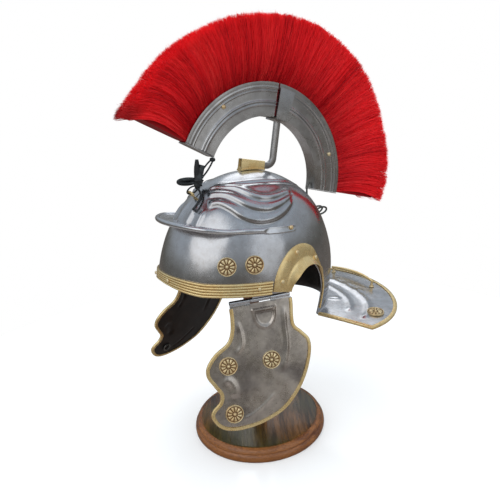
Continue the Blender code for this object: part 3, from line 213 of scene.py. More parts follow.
def make(name, points, faces, looks, node="", sharp=40, body="helmet", world=False, values=None,
         which=None):
    """A piece from its points in the helmet's frame, or the shared frame if world, and its groups of faces.

    It takes the place of one node, if one is named. Values are kept at the points, and which gives each face
    its look.
    """
    points = np.asarray(points, float)
    points = points if world else to_world(points)
    corners = np.concatenate([f.reshape(-1) for f in faces]).astype(np.int32)
    sizes = np.concatenate([np.full(len(f), f.shape[1]) for f in faces])
    mesh = bpy.data.meshes.new(name)
    mesh.vertices.add(len(points))
    mesh.vertices.foreach_set("co", (points * 0.001).astype(np.float32).ravel())
    mesh.loops.add(len(corners))
    mesh.loops.foreach_set("vertex_index", corners)
    mesh.polygons.add(len(sizes))
    mesh.polygons.foreach_set("loop_start", np.concatenate([[0], np.cumsum(sizes)[:-1]]).astype(np.int32))
    looks = looks if isinstance(looks, list) else [looks]
    for look in looks:
        mesh.materials.append(look)
    if which is not None:
        mesh.polygons.foreach_set("material_index", np.asarray(which, np.int32))
    for key, value in (values or {}).items():
        mesh.attributes.new(key, "FLOAT", "POINT").data.foreach_set("value", np.asarray(value, np.float32))
    mesh.update(calc_edges=True)
    mesh.shade_smooth()
    if sharp:
        mesh.set_sharp_from_angle(angle=math.radians(sharp))
    item = bpy.data.objects.new(name, mesh)
    bpy.context.scene.collection.objects.link(item)
    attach(item, body)
    if node:
        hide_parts(node)


def solid(name, parts, look, node="", sharp=40, body="helmet", world=False, values=None):
    """A piece of one look from closed parts."""
    points, faces = combine(*[(p, outward(p, f)) for p, f in parts])
    make(name, points, faces, look, node, sharp, body, world, values)


def tube(path, radius, sides=12, loop=False, flat=1.0):
    """A round or flattened tube along a path, turned as little as it can be."""
    path = np.asarray(path, float)
    if loop:
        along = unit(np.roll(path, -1, 0) - np.roll(path, 1, 0))
    else:
        along = unit(np.vstack([path[1] - path[0], path[2:] - path[:-2], path[-1] - path[-2]]))
    side = np.cross(along[0], [0.3, 0.5, 0.81])
    sides_at = []
    for t in along:
        side = unit(side - t * side.dot(t))
        sides_at.append(side)
    side = np.array(sides_at)
    if loop:
        other = np.cross(along, side)
        end = unit(side[-1] - along[0] * side[-1].dot(along[0]))
        slip = math.atan2(end.dot(other[0]), end.dot(side[0]))
        turn = -slip * np.arange(len(path)) / len(path)
        side = side * np.cos(turn)[:, None] + other * np.sin(turn)[:, None]
    other = np.cross(along, side)
    radius = np.broadcast_to(radius, len(path))[:, None, None]
    a = np.arange(sides) * 2 * math.pi / sides
    ring = side[:, None] * np.cos(a)[None, :, None] + other[:, None] * np.sin(a)[None, :, None] * flat
    return skin(path[:, None] + ring * radius, loop)


def turned(profile, steps, origin=(0, 0, 0), axis=(0, 0, 1)):
    """A body turned about an axis, from (radius, height) rows that start and end on it."""
    axis = unit(axis)
    side = unit(np.cross(axis, [0.2, 0.9, 0.1] if abs(axis[1]) < 0.9 else [1, 0, 0]))
    other = np.cross(axis, side)
    a = np.arange(steps) * 2 * math.pi / steps
    way = side * np.cos(a)[:, None] + other * np.sin(a)[:, None]
    rows = [np.asarray(origin) + axis * h + way * max(r, 0.001) for r, h in profile]
    return skin(rows)


def rounded(half_x, half_y, bevel, steps=3):
    """Corner points of a rectangle with rounded corners, round its centre."""
    out = []
    for sx, sy, start in ((1, 1, 0), (-1, 1, 90), (-1, -1, 180), (1, -1, 270)):
        for i in range(steps + 1):
            a = math.radians(start + 90 * i / steps)
            out.append((sx * (half_x - bevel) + bevel * math.cos(a),
                        sy * (half_y - bevel) + bevel * math.sin(a)))
    return np.array(out)


def near_line(points, line):
    """Each point's distance to a polyline, the nearest place on it, and how far along that is (0 to 1)."""
    best = np.full(len(points), 1e9)
    place = np.zeros_like(points)
    share = np.zeros(len(points))
    for i, (a, b) in enumerate(zip(line, line[1:])):
        ab = b - a
        t = np.clip((points - a) @ ab / max(ab @ ab, 1e-12), 0, 1)
        spot = a + t[:, None] * ab
        d = np.linalg.norm(points - spot, axis=1)
        less = d < best
        best[less] = d[less]
        place[less] = spot[less]
        share[less] = (i + t[less]) / (len(line) - 1)
    return best, place, share


def ripple(points, seed, length, count=24):
    """A smooth uneven field between about -1 and 1, with waves of about the given length."""
    rng = np.random.default_rng(seed)
    total = np.zeros(len(points))
    for _ in range(count):
        way = unit(rng.normal(size=3)) * 2 * math.pi / (length * rng.uniform(0.6, 1.7))
        total += np.cos(points @ way + rng.uniform(0, 2 * math.pi))
    return total / math.sqrt(count / 2) / 2


# ---- materials

def link(tree, source, target):
    tree.links.new(source, target)


class Look:
    """A material under construction, with short calls for its nodes."""

    def __init__(self, name, colour, metallic, roughness):
        self.made = bpy.data.materials.new(name)
        self.made.use_nodes = True
        self.tree = self.made.node_tree
        self.shader = self.tree.nodes["Principled BSDF"]
        self.shader.inputs["Base Color"].default_value = (*colour, 1)
        self.shader.inputs["Metallic"].default_value = metallic
        self.shader.inputs["Roughness"].default_value = roughness
        self.made.diffuse_color = (*colour, 1)
        self.place = self.tree.nodes.new("ShaderNodeTexCoord").outputs["Object"]

    def node(self, kind, **settings):
        made = self.tree.nodes.new(kind)
        for key, value in settings.items():
            setattr(made, key, value)
        return made

    def put(self, socket, value):
        if hasattr(value, "links"):
            link(self.tree, value, socket)
        else:
            socket.default_value = value

    def scaled(self, scale, turn=(0, 0, 0), kind="POINT"):
        made = self.node("ShaderNodeMapping")
        made.vector_type = kind
        link(self.tree, self.place, made.inputs["Vector"])
        made.inputs["Scale"].default_value = scale
        made.inputs["Rotation"].default_value = turn
        return made.outputs["Vector"]

    def noise(self, scale, detail=4.0, rough=0.55, where=None, twist=0.0):
        made = self.node("ShaderNodeTexNoise")
        link(self.tree, where or self.place, made.inputs["Vector"])
        made.inputs["Scale"].default_value = scale
        made.inputs["Detail"].default_value = detail
        made.inputs["Roughness"].default_value = rough
        made.inputs["Distortion"].default_value = twist
        return made.outputs["Fac"]

    def ramp(self, value, low, high, low_to=0.0, high_to=1.0):
        made = self.node("ShaderNodeMapRange", interpolation_type="SMOOTHSTEP")
        self.put(made.inputs["Value"], value)
        for key, number in (("From Min", low), ("From Max", high), ("To Min", low_to), ("To Max", high_to)):
            made.inputs[key].default_value = number
        return made.outputs["Result"]

    def math(self, kind, a, b=0.0):
        made = self.node("ShaderNodeMath", operation=kind)
        self.put(made.inputs[0], a)
        self.put(made.inputs[1], b)
        return made.outputs[0]

    def mix(self, share, a, b, kind="MIX"):
        made = self.node("ShaderNodeMix", data_type="RGBA", blend_type=kind)
        self.put(made.inputs["Factor"], share)
        self.put(made.inputs["A"], a if hasattr(a, "links") else (*a, 1))
        self.put(made.inputs["B"], b if hasattr(b, "links") else (*b, 1))
        return made.outputs["Result"]

    def value(self, name):
        return self.node("ShaderNodeAttribute", attribute_name=name).outputs["Fac"]

    def colour(self, value):
        link(self.tree, value, self.shader.inputs["Base Color"])

    def roughness(self, value):
        link(self.tree, value, self.shader.inputs["Roughness"])

    def bump(self, height, distance, strength=1.0):
        made = self.node("ShaderNodeBump")
        made.inputs["Strength"].default_value = strength
        made.inputs["Distance"].default_value = distance
        link(self.tree, height, made.inputs["Height"])
        link(self.tree, made.outputs["Normal"], self.shader.inputs["Normal"])


def steel_look(name, bright, dark, smooth, dull, stain=0.35, scratch=0.4):
    """Polished sheet: clouded, with finer and duller patches, brown stains, fine scratches and painted shade
    in its hollows.
    """
    look = Look(name, bright, 1.0, (smooth + dull) / 2)
    cloud = look.ramp(look.noise(22, 5, 0.6, twist=0.4), 0.36, 0.68)
    fine = look.ramp(look.noise(150, 4, 0.65), 0.42, 0.7)
    marks = look.noise(60, 6, 0.8, where=look.scaled((14, 1.6, 3.0), (0.5, 0.3, 0.7)))
    marks = look.ramp(marks, 0.55, 0.72, 0, scratch)
    tone = look.mix(cloud, bright, dark)
    tone = look.mix(look.math("MULTIPLY", fine, stain), tone, (0.36, 0.31, 0.27))
    # painted shade: the hollows and grooves are darkened towards near black
    tone = look.mix(look.math("MULTIPLY", look.value("painted_shade"), 0.85), tone, (0.05, 0.05, 0.05))
    look.colour(tone)
    rough = look.ramp(look.noise(45, 5, 0.7), 0.3, 0.75, smooth, dull)
    rough = look.math("ADD", rough, look.math("MULTIPLY", marks, 0.18))
    look.roughness(rough)
    height = look.math("ADD", look.math("MULTIPLY", look.noise(420, 3, 0.6), 0.5), marks)
    look.bump(height, 0.00012, 0.35)
    return look.made


def brass_look(name, bright, warm, smooth=0.2, dull=0.36):
    """Brass: clouded, with painted shade, dark brown, in its hollows."""
    look = Look(name, bright, 0.72, (smooth + dull) / 2)
    cloud = look.ramp(look.noise(40, 5, 0.65, twist=0.3), 0.35, 0.7)
    fine = look.ramp(look.noise(260, 4, 0.65), 0.45, 0.72, 0, 0.45)
    tone = look.mix(cloud, bright, warm)
    tone = look.mix(look.math("MULTIPLY", fine, 0.5), tone, (0.45, 0.26, 0.09))
    # painted shade in the hollows, dark brown
    tone = look.mix(look.math("MULTIPLY", look.value("painted_shade"), 0.9), tone, (0.17, 0.07, 0.03))
    look.colour(tone)
    look.roughness(look.ramp(look.noise(80, 5, 0.7), 0.3, 0.75, smooth, dull))
    look.bump(look.noise(500, 3, 0.6), 0.0001, 0.3)
    return look.made


def black_look():
    """The inside of the sheet metal, near black."""
    look = Look("inside_black", (0.012, 0.011, 0.011), 0.0, 0.4)
    cloud = look.ramp(look.noise(60, 5, 0.65), 0.4, 0.7)
    look.colour(look.mix(cloud, (0.010, 0.009, 0.009), (0.030, 0.022, 0.020)))
    look.roughness(look.ramp(look.noise(120, 4, 0.6), 0.3, 0.7, 0.28, 0.5))
    look.bump(look.noise(350, 4, 0.6), 0.0002, 0.4)
    return look.made


def leather_look():
    """Worn black leather."""
    look = Look("leather_black", (0.018, 0.019, 0.022), 0.0, 0.45)
    grain = look.noise(900, 5, 0.65)
    cloud = look.ramp(look.noise(140, 4), 0.4, 0.7)
    look.colour(look.mix(cloud, (0.010, 0.011, 0.013), (0.040, 0.048, 0.052)))
    look.roughness(look.ramp(grain, 0.3, 0.75, 0.35, 0.6))
    look.bump(grain, 0.0004, 0.6)
    return look.made


def hair_look():
    """Dyed hair, each hair a little different, with painted shade: darker at the roots and in the gaps
    between locks.
    """
    look = Look("hair_red", (0.80, 0.02, 0.03), 0.0, 0.5)
    depth = look.value("depth")
    chance = look.value("chance")
    # painted shade: dark at the roots, bright towards the ends
    tone = look.mix(look.ramp(depth, 0.0, 1.0), (0.46, 0.002, 0.006), (0.93, 0.013, 0.019))
    tone = look.mix(look.ramp(chance, 0.55, 1.0, 0, 0.5), tone, (1.0, 0.06, 0.055))
    tone = look.mix(look.ramp(chance, 0.4, 0.0, 0, 0.75), tone, (0.30, 0.001, 0.006))
    # painted shade: the tip value darkens the front hair's ends and the whole core
    tone = look.mix(look.value("tip"), tone, (0.09, 0.006, 0.006))
    look.colour(tone)
    look.shader.inputs["Specular IOR Level"].default_value = 0.14
    return look.made


def wood_look(name, light, dark, streak_and_reflection, shine, grain_turn, edge=False):
    """Varnished wood with its grain one way."""
    look = Look(name, light, 0.0, 0.25)
    where = look.scaled((1.25, 1.25, 1 / 6) if edge else (1, 14, 1), (0, 0, grain_turn), "TEXTURE")
    coarse = look.ramp(look.noise(55, 6, 0.62, where=where, twist=0.6), 0.36, 0.66)
    fine = look.ramp(look.noise(320, 5, 0.7, where=where, twist=0.3), 0.38, 0.66)
    # large patches of a second colour: on the top a dull olive, painted reflection of green surroundings; on
    # the edge a redder brown
    patch = look.ramp(look.noise(9, 3, 0.5), 0.42, 0.62)
    tone = look.mix(coarse, light, dark)
    tone = look.mix(look.math("MULTIPLY", patch, 0.8), tone, streak_and_reflection)
    tone = look.mix(look.math("MULTIPLY", fine, 0.55), tone, tuple(c * 0.35 for c in dark))
    look.colour(tone)
    look.roughness(look.ramp(coarse, 0, 1, shine, shine + 0.12))
    look.shader.inputs["Coat Weight"].default_value = 0.15
    look.shader.inputs["Coat Roughness"].default_value = 0.1
    look.bump(fine, 0.00015, 0.4)
    return look.made


STEEL = steel_look("steel_bowl", (0.70, 0.71, 0.74), (0.58, 0.58, 0.60), 0.17, 0.30, 0.2)
STEEL_CHEEK = steel_look("steel_cheek", (0.84, 0.76, 0.68), (0.38, 0.34, 0.32), 0.22, 0.40, 0.3, 0.2)
STEEL_CREST = steel_look("steel_crest", (0.68, 0.67, 0.67), (0.46, 0.45, 0.45), 0.22, 0.38, 0.2, 0.2)
STEEL_BRIGHT = steel_look("steel_bright", (0.84, 0.86, 0.90), (0.72, 0.73, 0.77), 0.18, 0.30, 0.1)
STEEL_WIRE = steel_look("steel_wire", (0.20, 0.21, 0.20), (0.10, 0.11, 0.10), 0.3, 0.5)
BRASS = brass_look("brass_plain", (1.0, 0.78, 0.40), (0.86, 0.60, 0.26))
BRASS_BAND = brass_look("brass_band", (1.0, 0.80, 0.42), (0.90, 0.65, 0.30))
BRASS_ROSETTE = brass_look("brass_rosette", (1.0, 0.84, 0.52), (0.92, 0.68, 0.36), 0.24, 0.4)
BLACK = black_look()
LEATHER = leather_look()
HAIR = hair_look()
GRAIN = math.atan2(0.4477, -0.8256) - math.pi / 2  # the grain runs away from the camera
# the third colour, dull olive, is painted reflection
WOOD_TOP = wood_look("wood_top", (0.24, 0.10, 0.028), (0.04, 0.016, 0.006), (0.06, 0.055, 0.012), 0.22,
                     GRAIN)
WOOD_EDGE = wood_look("wood_edge", (0.40, 0.15, 0.045), (0.15, 0.045, 0.014), (0.30, 0.11, 0.03), 0.2, 0,
                      edge=True)


# ---- the bowl's surface

def bowl_normal(p):
    """The way out of the bowl at points on it. Below brow level its wall is upright."""
    p = np.asarray(p, float)
    up = np.maximum(p[..., 2], 0)
    return unit(np.stack([p[..., 0] / HALF_WIDTH ** 2, p[..., 1] / HALF_LENGTH ** 2, up / HEIGHT ** 2], -1))


def guard_height(across, along):
    """The neck guard's level at a place."""
    droop = GUARD["droop"] * (across / 100) ** 2
    return GUARD["level"] + GUARD["slope"] * (along - GUARD["widest"]) - droop


def guard_normal(across):
    across = np.asarray(across)
    ones = np.ones(across.shape)
    return unit(np.stack([GUARD["droop"] * 2 * across / 1e4, -GUARD["slope"] * ones, ones], -1))


CORNER = math.acos(-NECK_CORNER / (HALF_LENGTH * (1 - TAPER)))


def crease(turn):
    """Points on the bend between the nape's wall and the neck guard."""
    across = HALF_WIDTH * (1 - TAPER) * np.sin(turn)
    along = -HALF_LENGTH * (1 - TAPER) * np.cos(turn)
    return np.stack([across, along, guard_height(across, along)], -1)


def flattened(up):
    return up - CROWN_DROP * ease(0, 1, (up / HEIGHT - CROWN_FROM) / (1 - CROWN_FROM))


def crown_line(along):
    """The bowl's top over its middle line."""
    return float(flattened(HEIGHT * math.sqrt(1 - (along / HALF_LENGTH) ** 2)))


def bowl_at(turn, up, out=0.0):
    """Points on the bowl's outer face at angles round from the front and heights, or out from it."""
    turn, up, out = np.broadcast_arrays(*(np.asarray(v, float) for v in (turn, up, out)))
    foot = crease(np.maximum(np.abs(turn), CORNER))[..., 2]
    drawn = (up < 0) & (np.abs(turn) >= math.acos(-EAR_TOP_AT / HALF_LENGTH))
    share = np.sqrt(np.clip(1 - (np.maximum(up, 0) / HEIGHT) ** 2, 0, 1))
    share = share * np.where(drawn, 1 - TAPER * up / foot, 1)
    p = np.stack([HALF_WIDTH * share * np.sin(turn), -HALF_LENGTH * share * np.cos(turn), up], -1)
    normal = bowl_normal(p)
    p[..., 2] = flattened(up)
    return p + normal * out[..., None]


def bowl_point(side, along, up, out=0.0):
    """Points on the bowl's outer face from their places along and up the bowl."""
    along, up = np.asarray(along, float), np.asarray(up, float)
    level = np.sqrt(np.maximum(1 - (np.maximum(up, 0) / HEIGHT) ** 2, 1e-9))
    return bowl_at(side * np.arccos(np.clip(-along / (HALF_LENGTH * level), -1, 1)), up, out)


def front_rim(turn):
    """The rim's height from the front round to the ear opening."""
    turn = np.abs(turn)
    temple = math.radians(40)
    place = -HALF_LENGTH * np.cos(turn)
    start = -HALF_LENGTH * math.cos(temple)
    rear = RIM_TEMPLE + (RIM_SIDE - RIM_TEMPLE) * (place - start) / (EAR_FRONT - start)
    return np.where(turn < temple, ease(RIM_FRONT, RIM_TEMPLE, turn / temple), rear)


def ear_edge(share):
    """(along, up) on the edge of the ear opening, from its front foot at 0 to the neck corner at 1."""
    share = np.asarray(share, float)
    foot = crease(CORNER)[2]
    a = math.pi * np.minimum(share, 0.5)
    b = math.pi * (1 - np.maximum(share, 0.5))
    front = share < 0.5
    rear = NECK_CORNER / (1 - TAPER)
    along = np.where(front, EAR_TOP_AT - (EAR_TOP_AT - EAR_FRONT) * np.cos(a),
                     EAR_TOP_AT + (rear - EAR_TOP_AT) * np.cos(b))
    up = np.where(front, RIM_SIDE + (EAR_HEIGHT - RIM_SIDE) * np.sin(a),
                  foot + (EAR_HEIGHT - foot) * np.sin(b))
    return along, up


def guard_rim(share):
    """Points on the neck guard's rim, from the left corner at 0, round the back, to the right corner at 1."""
    share = np.asarray(share, float)
    half = np.minimum(share, 1 - share)
    corner = crease(CORNER)
    straight = 0.14
    t = np.clip(half / straight, 0, 1)
    x0 = corner[0] + (GUARD["half"] - corner[0]) * t
    y0 = corner[1] + (GUARD["widest"] - corner[1]) * t
    turn = math.pi / 2 * np.clip((half - straight) / (0.5 - straight), 0, 1)
    power = 2 / GUARD["square"]
    x1 = GUARD["half"] * np.maximum(np.cos(turn), 0) ** power
    y1 = GUARD["widest"] + GUARD["reach"] * np.sin(turn) ** power
    x = np.where(half < straight, x0, x1) * np.where(share > 0.5, -1, 1)
    y = np.where(half < straight, y0, y1)
    return np.stack([x, y, guard_height(x, y)], -1)


def bowl_relief(p):
    """How far the embossing stands out from the bowl, and how much painted shade its hollows get."""
    out = 0.16 * ripple(p, 3, 46) + 0.05 * ripple(p, 4, 17)
    dark = np.zeros(len(p))
    for side in (1, -1):
        near = (p[:, 2] > 52) & (p[:, 0] * side > -9)
        q = p[near]
        add = np.zeros(len(q))
        shade = np.zeros(len(q))
        for table in BROWS:
            marks = spline(table, 6)
            line = bowl_point(side, marks[:, 0] * HALF_LENGTH, marks[:, 1] * HEIGHT)
            d, spot, share = near_line(q, line)
            above = q[:, 2] > spot[:, 2]
            ends = fade(share, 0.08, 0.06)
            add += 2.3 * ends * hump(d, np.where(above, 5.2, 2.5))
            groove = hump(d - 4.6, 1.9) * ~above * ends
            add -= 0.7 * groove
            # painted shade in the groove under each brow
            shade += 0.25 * groove
        marks = spline(SHOULDER, 8)
        line = bowl_at(side * np.radians(marks[:, 0]), marks[:, 1])
        d, spot, share = near_line(q, line)
        outside = np.linalg.norm(q[:, :2], axis=1) > np.linalg.norm(spot[:, :2], axis=1)
        ends = fade(share, 0.12, 0.3)
        add += 0.5 * hump(d, 1.6) * ends - 0.9 * hump(d - 4, 3.0) * ends * outside
        for degrees, low, high, height in FLUTES:
            line = bowl_at(side * math.radians(degrees), HEIGHT * np.linspace(low, high, 8))
            d, _, share = near_line(q, line)
            add += height * hump(d, 2.6) * ease(0, 1, (1 - share) / 0.4)
        out[near] += add
        dark[near] += shade
    turn = np.arctan2(p[:, 0], -p[:, 1])
    foot = crease(np.maximum(np.abs(turn), CORNER))[:, 2]
    rise = 1 - p[:, 2] / foot
    span = ease(0, 1, (np.abs(turn) - CORNER - 0.05) / 0.12)
    for level in NAPE_RIBS:
        d = (rise - level) * -foot
        out += 1.6 * span * hump(d, 2.3)
        # painted shade just under each nape rib
        dark += 0.35 * span * hump(d + 3.6, 1.4)
    return out, dark


def guard_relief(p):
    """The raised arcs on the neck guard."""
    out = 0.15 * ripple(p, 8, 40)
    for marks, height, width in GUARD_ARCS:
        d, _, share = near_line(p * [1, 1, 0], spline([(*m, 0) for m in marks], 8))
        out += height * hump(d, width) * ease(0, 1, share / 0.08) * ease(0, 1, (1 - share) / 0.08)
    for middle in GUARD_RINGS:
        d = np.linalg.norm(p[:, :2] - middle, axis=1)
        out += 0.9 * hump(d - 4.2, 1.6)
    return out


def make_bowl():
    """Crown, nape wall and neck guard as one sheet, as columns round the rim from the front to the front."""
    front, ear, nape = 110, 62, 56  # columns to the ear opening, over it, and on to the middle of the back
    ear_turn = math.acos(-EAR_FRONT / HALF_LENGTH)
    turns = ear_turn * np.arange(front) / front
    edges = front_rim(turns)
    along, up = ear_edge(np.arange(ear + 1) / ear)
    level = np.sqrt(1 - (np.maximum(up, 0) / HEIGHT) ** 2)
    turns = np.concatenate([turns, np.arccos(-along / (HALF_LENGTH * level))])
    edges = np.concatenate([edges, up])
    back = CORNER + (math.pi - CORNER) * np.arange(1, nape + 1) / nape
    turns = np.concatenate([turns, back, -back[-2::-1], -turns[front + ear:0:-1]])
    edges = np.concatenate([edges, crease(back)[:, 2], crease(back)[-2::-1, 2], edges[:0:-1]])
    count = len(turns)
    first = front + ear
    guard_columns = 2 * nape + 1
    from_side = np.minimum(np.arange(guard_columns), np.arange(guard_columns)[::-1])
    guard_part = slice(first, first + guard_columns)

    def grid(rows, guard_rows, inner):
        """One face of the sheet: its points, faces, rim and the painted shade at each point."""
        lean = np.arccos(np.maximum(edges, 0) / HEIGHT)
        wall = np.maximum(-edges, 0)
        t = (np.arange(1, rows + 1) / rows)[:, None]
        travel = (HEIGHT * lean + wall) * t
        over = travel > HEIGHT * lean
        up = np.where(over, HEIGHT * lean - travel, HEIGHT * np.cos(np.minimum(travel / HEIGHT, lean)))
        p = bowl_at(np.broadcast_to(turns, up.shape), up)
        flat = p.reshape(-1, 3)
        if inner:
            shaped = flat - bowl_normal(flat) * SHEET
            dark = np.zeros(len(flat))
        else:
            rise, dark = bowl_relief(flat)
            edge_fade = ease(0, 1, (1 - t) * rows / 5) * np.ones(up.shape)
            rise = rise * edge_fade.ravel()
            shaped = flat + bowl_normal(flat) * rise[:, None]
        wall_points = shaped.reshape(rows, count, 3)
        start = p[-1, guard_part]
        end = guard_rim(np.arange(guard_columns) / (guard_columns - 1))
        s = (np.arange(1, guard_rows + 1) / guard_rows)[:, None, None]
        g = start + (end - start) * s
        g[:, 1:-1, 2] = guard_height(g[:, 1:-1, 0], g[:, 1:-1, 1])
        lift = guard_normal(g[..., 0])
        if inner:
            g = g - lift * SHEET
        else:
            rise = guard_relief(g.reshape(-1, 3)).reshape(g.shape[:2])
            end_fade = ease(0, 1, s[..., 0] * 6) * ease(0, 1, (1 - s[..., 0]) * 14 - 0.3)
            side_fade = ease(0, 1, from_side / 5)
            g = g + lift * (rise * end_fade * side_fade)[..., None]
        last = 14  # rows of the wall that take part in rounding the bend
        strip = np.concatenate([wall_points[-last:, guard_part], g], 0)
        ease_in = ease(0, 1, from_side / 4)[None, :, None]
        step, rounds = (2, 2) if inner else (5, 6)
        low, high = last - 1 - step, last + step
        for _ in range(rounds):
            middle = strip[low:high]
            smooth = (strip[low - 1:high - 1] + 2 * middle + strip[low + 1:high + 1]) / 4
            strip[low:high] = middle + (smooth - middle) * ease_in
        wall_points[-last:, guard_part] = strip[:last]
        g = strip[last:]
        top = np.array([[0, 0, crown_line(0) - (SHEET if inner else 0)]])
        points = np.vstack([top, wall_points.reshape(-1, 3), g.reshape(-1, 3)])
        dark = np.concatenate([[0], dark, np.zeros(g.shape[0] * guard_columns)])
        index = 1 + np.arange(rows * count).reshape(rows, count)
        near = np.roll(index, -1, 1)
        cap = np.stack([np.zeros(count, int), index[0], near[0]], -1)
        quads = np.stack([index[:-1], index[1:], near[1:], near[:-1]], -1).reshape(-1, 4)
        base = 1 + rows * count
        rows_g = np.vstack([index[-1, guard_part][None],
                            base + np.arange(guard_rows * guard_columns).reshape(guard_rows, -1)])
        more = across_grid(rows_g)
        rim = np.concatenate([index[-1, :first + 1], rows_g[1:, 0], rows_g[-1, 1:], rows_g[-2:0:-1, -1],
                              index[-1, first + guard_columns - 1:]])
        return points, [cap, quads, more], rim, dark

    rows, guard_rows = 128, 34
    outer, outer_faces, outer_rim, dark = grid(rows, guard_rows, False)
    inner, inner_faces, inner_rim, _ = grid(rows // 4, guard_rows, True)
    shift = len(outer)
    inner_faces = [f[:, ::-1] + shift for f in inner_faces]
    a, b = outer_rim, inner_rim + shift
    strip = np.stack([a, b, np.roll(b, -1), np.roll(a, -1)], -1)
    faces = outer_faces + inner_faces + [strip]
    which = np.repeat([0, 1, 0], [sum(map(len, outer_faces)), sum(map(len, inner_faces)), len(strip)])
    points = np.vstack([outer, inner])
    make("bowl_sheet", points, faces, [STEEL, BLACK], "bowl", 0,
         values={"painted_shade": np.concatenate([dark, np.zeros(len(inner))])}, which=which)


# ---- brow, ears and neck

def make_band():
    """The brow band, with ribs along it and painted shade between them."""
    ear = math.acos((EAR_GUARD_HALF - EAR_GUARD_AT + 1.6) / HALF_LENGTH)
    turns = np.linspace(-ear, ear, 181)
    low = front_rim(turns)
    high = low + BAND_HEIGHT * ease(0.72, 1, np.abs(turns) / math.radians(40))
    t = np.linspace(0, 1, BAND_RIBS * 10 + 1)
    wave = np.abs(np.sin(math.pi * t * BAND_RIBS)) ** 0.75
    rings = []
    dark = []
    for turn, a, b in zip(turns, low, high):
        up = a + (b - a) * t
        front = bowl_at(turn, up, GAP + 1.3 + 1.25 * wave - 0.25)
        rings.append(np.vstack([bowl_at(turn, np.array([b, a]), GAP), front]))
        # painted shade in the hollows between the ribs
        dark.append(np.concatenate([[0, 0], (1 - wave) ** 2 * 0.9]))
    points, faces = skin(rings)
    solid("brow_band_ribs", [(points, faces)], BRASS_BAND, "brow_band", 50,
          values={"painted_shade": np.array(dark).ravel()})


def make_brow_guard():
    """The peak over the brow, which narrows into arms with flat ends."""
    def level(turn, up):
        return BROW_LEVEL + BROW_RISE * max(bowl_at(turn, up)[1] - BROW_FROM, 0)

    def squared(wave, power):
        return np.sign(wave) * np.abs(wave) ** power

    end = math.radians(97)
    rings = []
    steps = 170
    for i in range(steps + 1):
        turn = end * (2 * i / steps - 1)
        up = level(turn, level(turn, BROW_LEVEL))
        inner = bowl_at(turn, up)
        out = unit(np.array([inner[0] / HALF_WIDTH ** 2, inner[1] / HALF_LENGTH ** 2, 0]))
        reach = ease(4.2, 21, (math.radians(62) - abs(turn)) / math.radians(28))
        tab = ease(0, 1, (abs(turn) - math.radians(72)) / math.radians(5))
        reach = reach * (1 - tab) + 2.2 * tab
        half = 2.8 * (1 + 0.3 * tab)
        half *= math.sqrt(max(1 - max((abs(turn) - (end - 0.035)) / 0.035, 0) ** 2, 0.02))
        bead = min(2.8, reach / 2)
        web = min(1.0 + (half - 1.0) * float(ease(1, 0, (reach - 4.2) / 8)), half)
        wrap = 150 if reach > 6 else 110
        angles = np.radians(np.linspace(wrap, -wrap, 15))
        power = 1 - 0.55 * tab
        arc = np.stack([reach - bead + bead * squared(np.cos(angles), power),
                        half * squared(np.sin(angles), power)], -1)
        join = arc[0][0]
        shape = [(0.0, web), (join * 0.5, web), *arc, (join * 0.5, -web), (0.0, -web)]
        ring = []
        for away, lift in shape:
            wall = float((bowl_at(turn, up + lift) - inner) @ out)
            away = max(wall + GAP * 2 + min(reach, 2.2) * away / reach, away)
            ring.append(inner + out * away + np.array([0, 0, lift]))
        rings.append(ring)
    solid("brow_guard_rolled", [skin(rings)], STEEL_BRIGHT, "brow_guard", 45)


def ear_guard_far(share):
    """(along, up) on the far edge of an ear guard, at a share of its way round the ear."""
    near = np.array(ear_edge(share))
    turn = math.pi * (1 - 1.02 * share)
    far = np.array([EAR_GUARD_AT + EAR_GUARD_HALF * math.cos(turn),
                    RIM_SIDE + (EAR_GUARD_TOP - RIM_SIDE) * math.sin(turn)])
    if share <= 0.6:
        return far
    step = np.array(ear_edge(min(share + 0.01, 1))) - np.array(ear_edge(share - 0.01))
    beside = near + unit(np.array([-step[1], step[0]])) * 3.6
    return far + (beside - far) * float(ease(0, 1, (share - 0.6) / 0.17))


def make_ear_guards():
    """Arched sheets over the ears, with a lip that flares at the opening."""
    for side, hand in HANDS:
        rings = []
        steps = 110
        for i in range(steps + 1):
            share = 0.965 * i / steps
            near = np.array(ear_edge(share), float)
            far = ear_guard_far(share)
            narrow = float(ease(1, 0, (share - 0.6) / 0.17))
            lip = 7 * float(ease(0.25, 1, i / (steps * 0.24))) * (0.25 + 0.75 * narrow)
            t = np.concatenate([np.linspace(0, 0.62, 7), np.linspace(0.68, 1, 9)])
            along = far[0] + (near[0] - far[0]) * t
            up = far[1] + (near[1] - far[1]) * t
            seat = bowl_point(side, along, up, GAP)
            normal = bowl_normal(seat)
            inward = unit(seat[-1] - seat[0])
            curl = np.clip((t - 0.62) / 0.38, 0, 1)
            rise = lip * curl ** 2.2
            over = lip * 0.35 * curl ** 3
            back = seat + normal * rise[:, None] + inward * over[:, None]
            tangent = unit(np.gradient(back, axis=0))
            face_way = unit(normal - tangent * np.einsum("ij,ij->i", normal, tangent)[:, None])
            crown = 0.35 * np.sin(np.pi * np.clip(t / 0.62, 0, 1))
            front = back + face_way * (1.2 + crown)[:, None]
            front[0] = seat[0] + normal[0] * 0.9 + inward * 0.3
            rings.append(np.vstack([back, front[::-1]]))
        solid(f"ear_guard_flared_{hand}", [skin(rings)], BRASS, f"ear_guard_{hand}", 45)


def channel(path, outs, lifts, wall, width, sheet=0.8):
    """Rings of a rounded channel folded over a sheet's edge."""
    inner = wall / 2 + GAP
    outer = inner + sheet
    angles = np.radians(np.linspace(90, -90, 9))
    upper = [(-width, inner), (-width - 0.2, (inner + outer) / 2), (-width, outer),
             (-width * 0.5, outer + 0.15)]
    fold = [(GAP + sheet * math.cos(a) * 1.2 - 0.1, outer * math.sin(a)) for a in angles]
    lower = [(x, -y) for x, y in upper[::-1]]
    shape = np.array([*upper, *fold, *lower, (GAP, -inner), (GAP, inner)])
    return path[:, None] + outs[:, None] * shape[None, :, :1] + lifts[:, None] * shape[None, :, 1:]


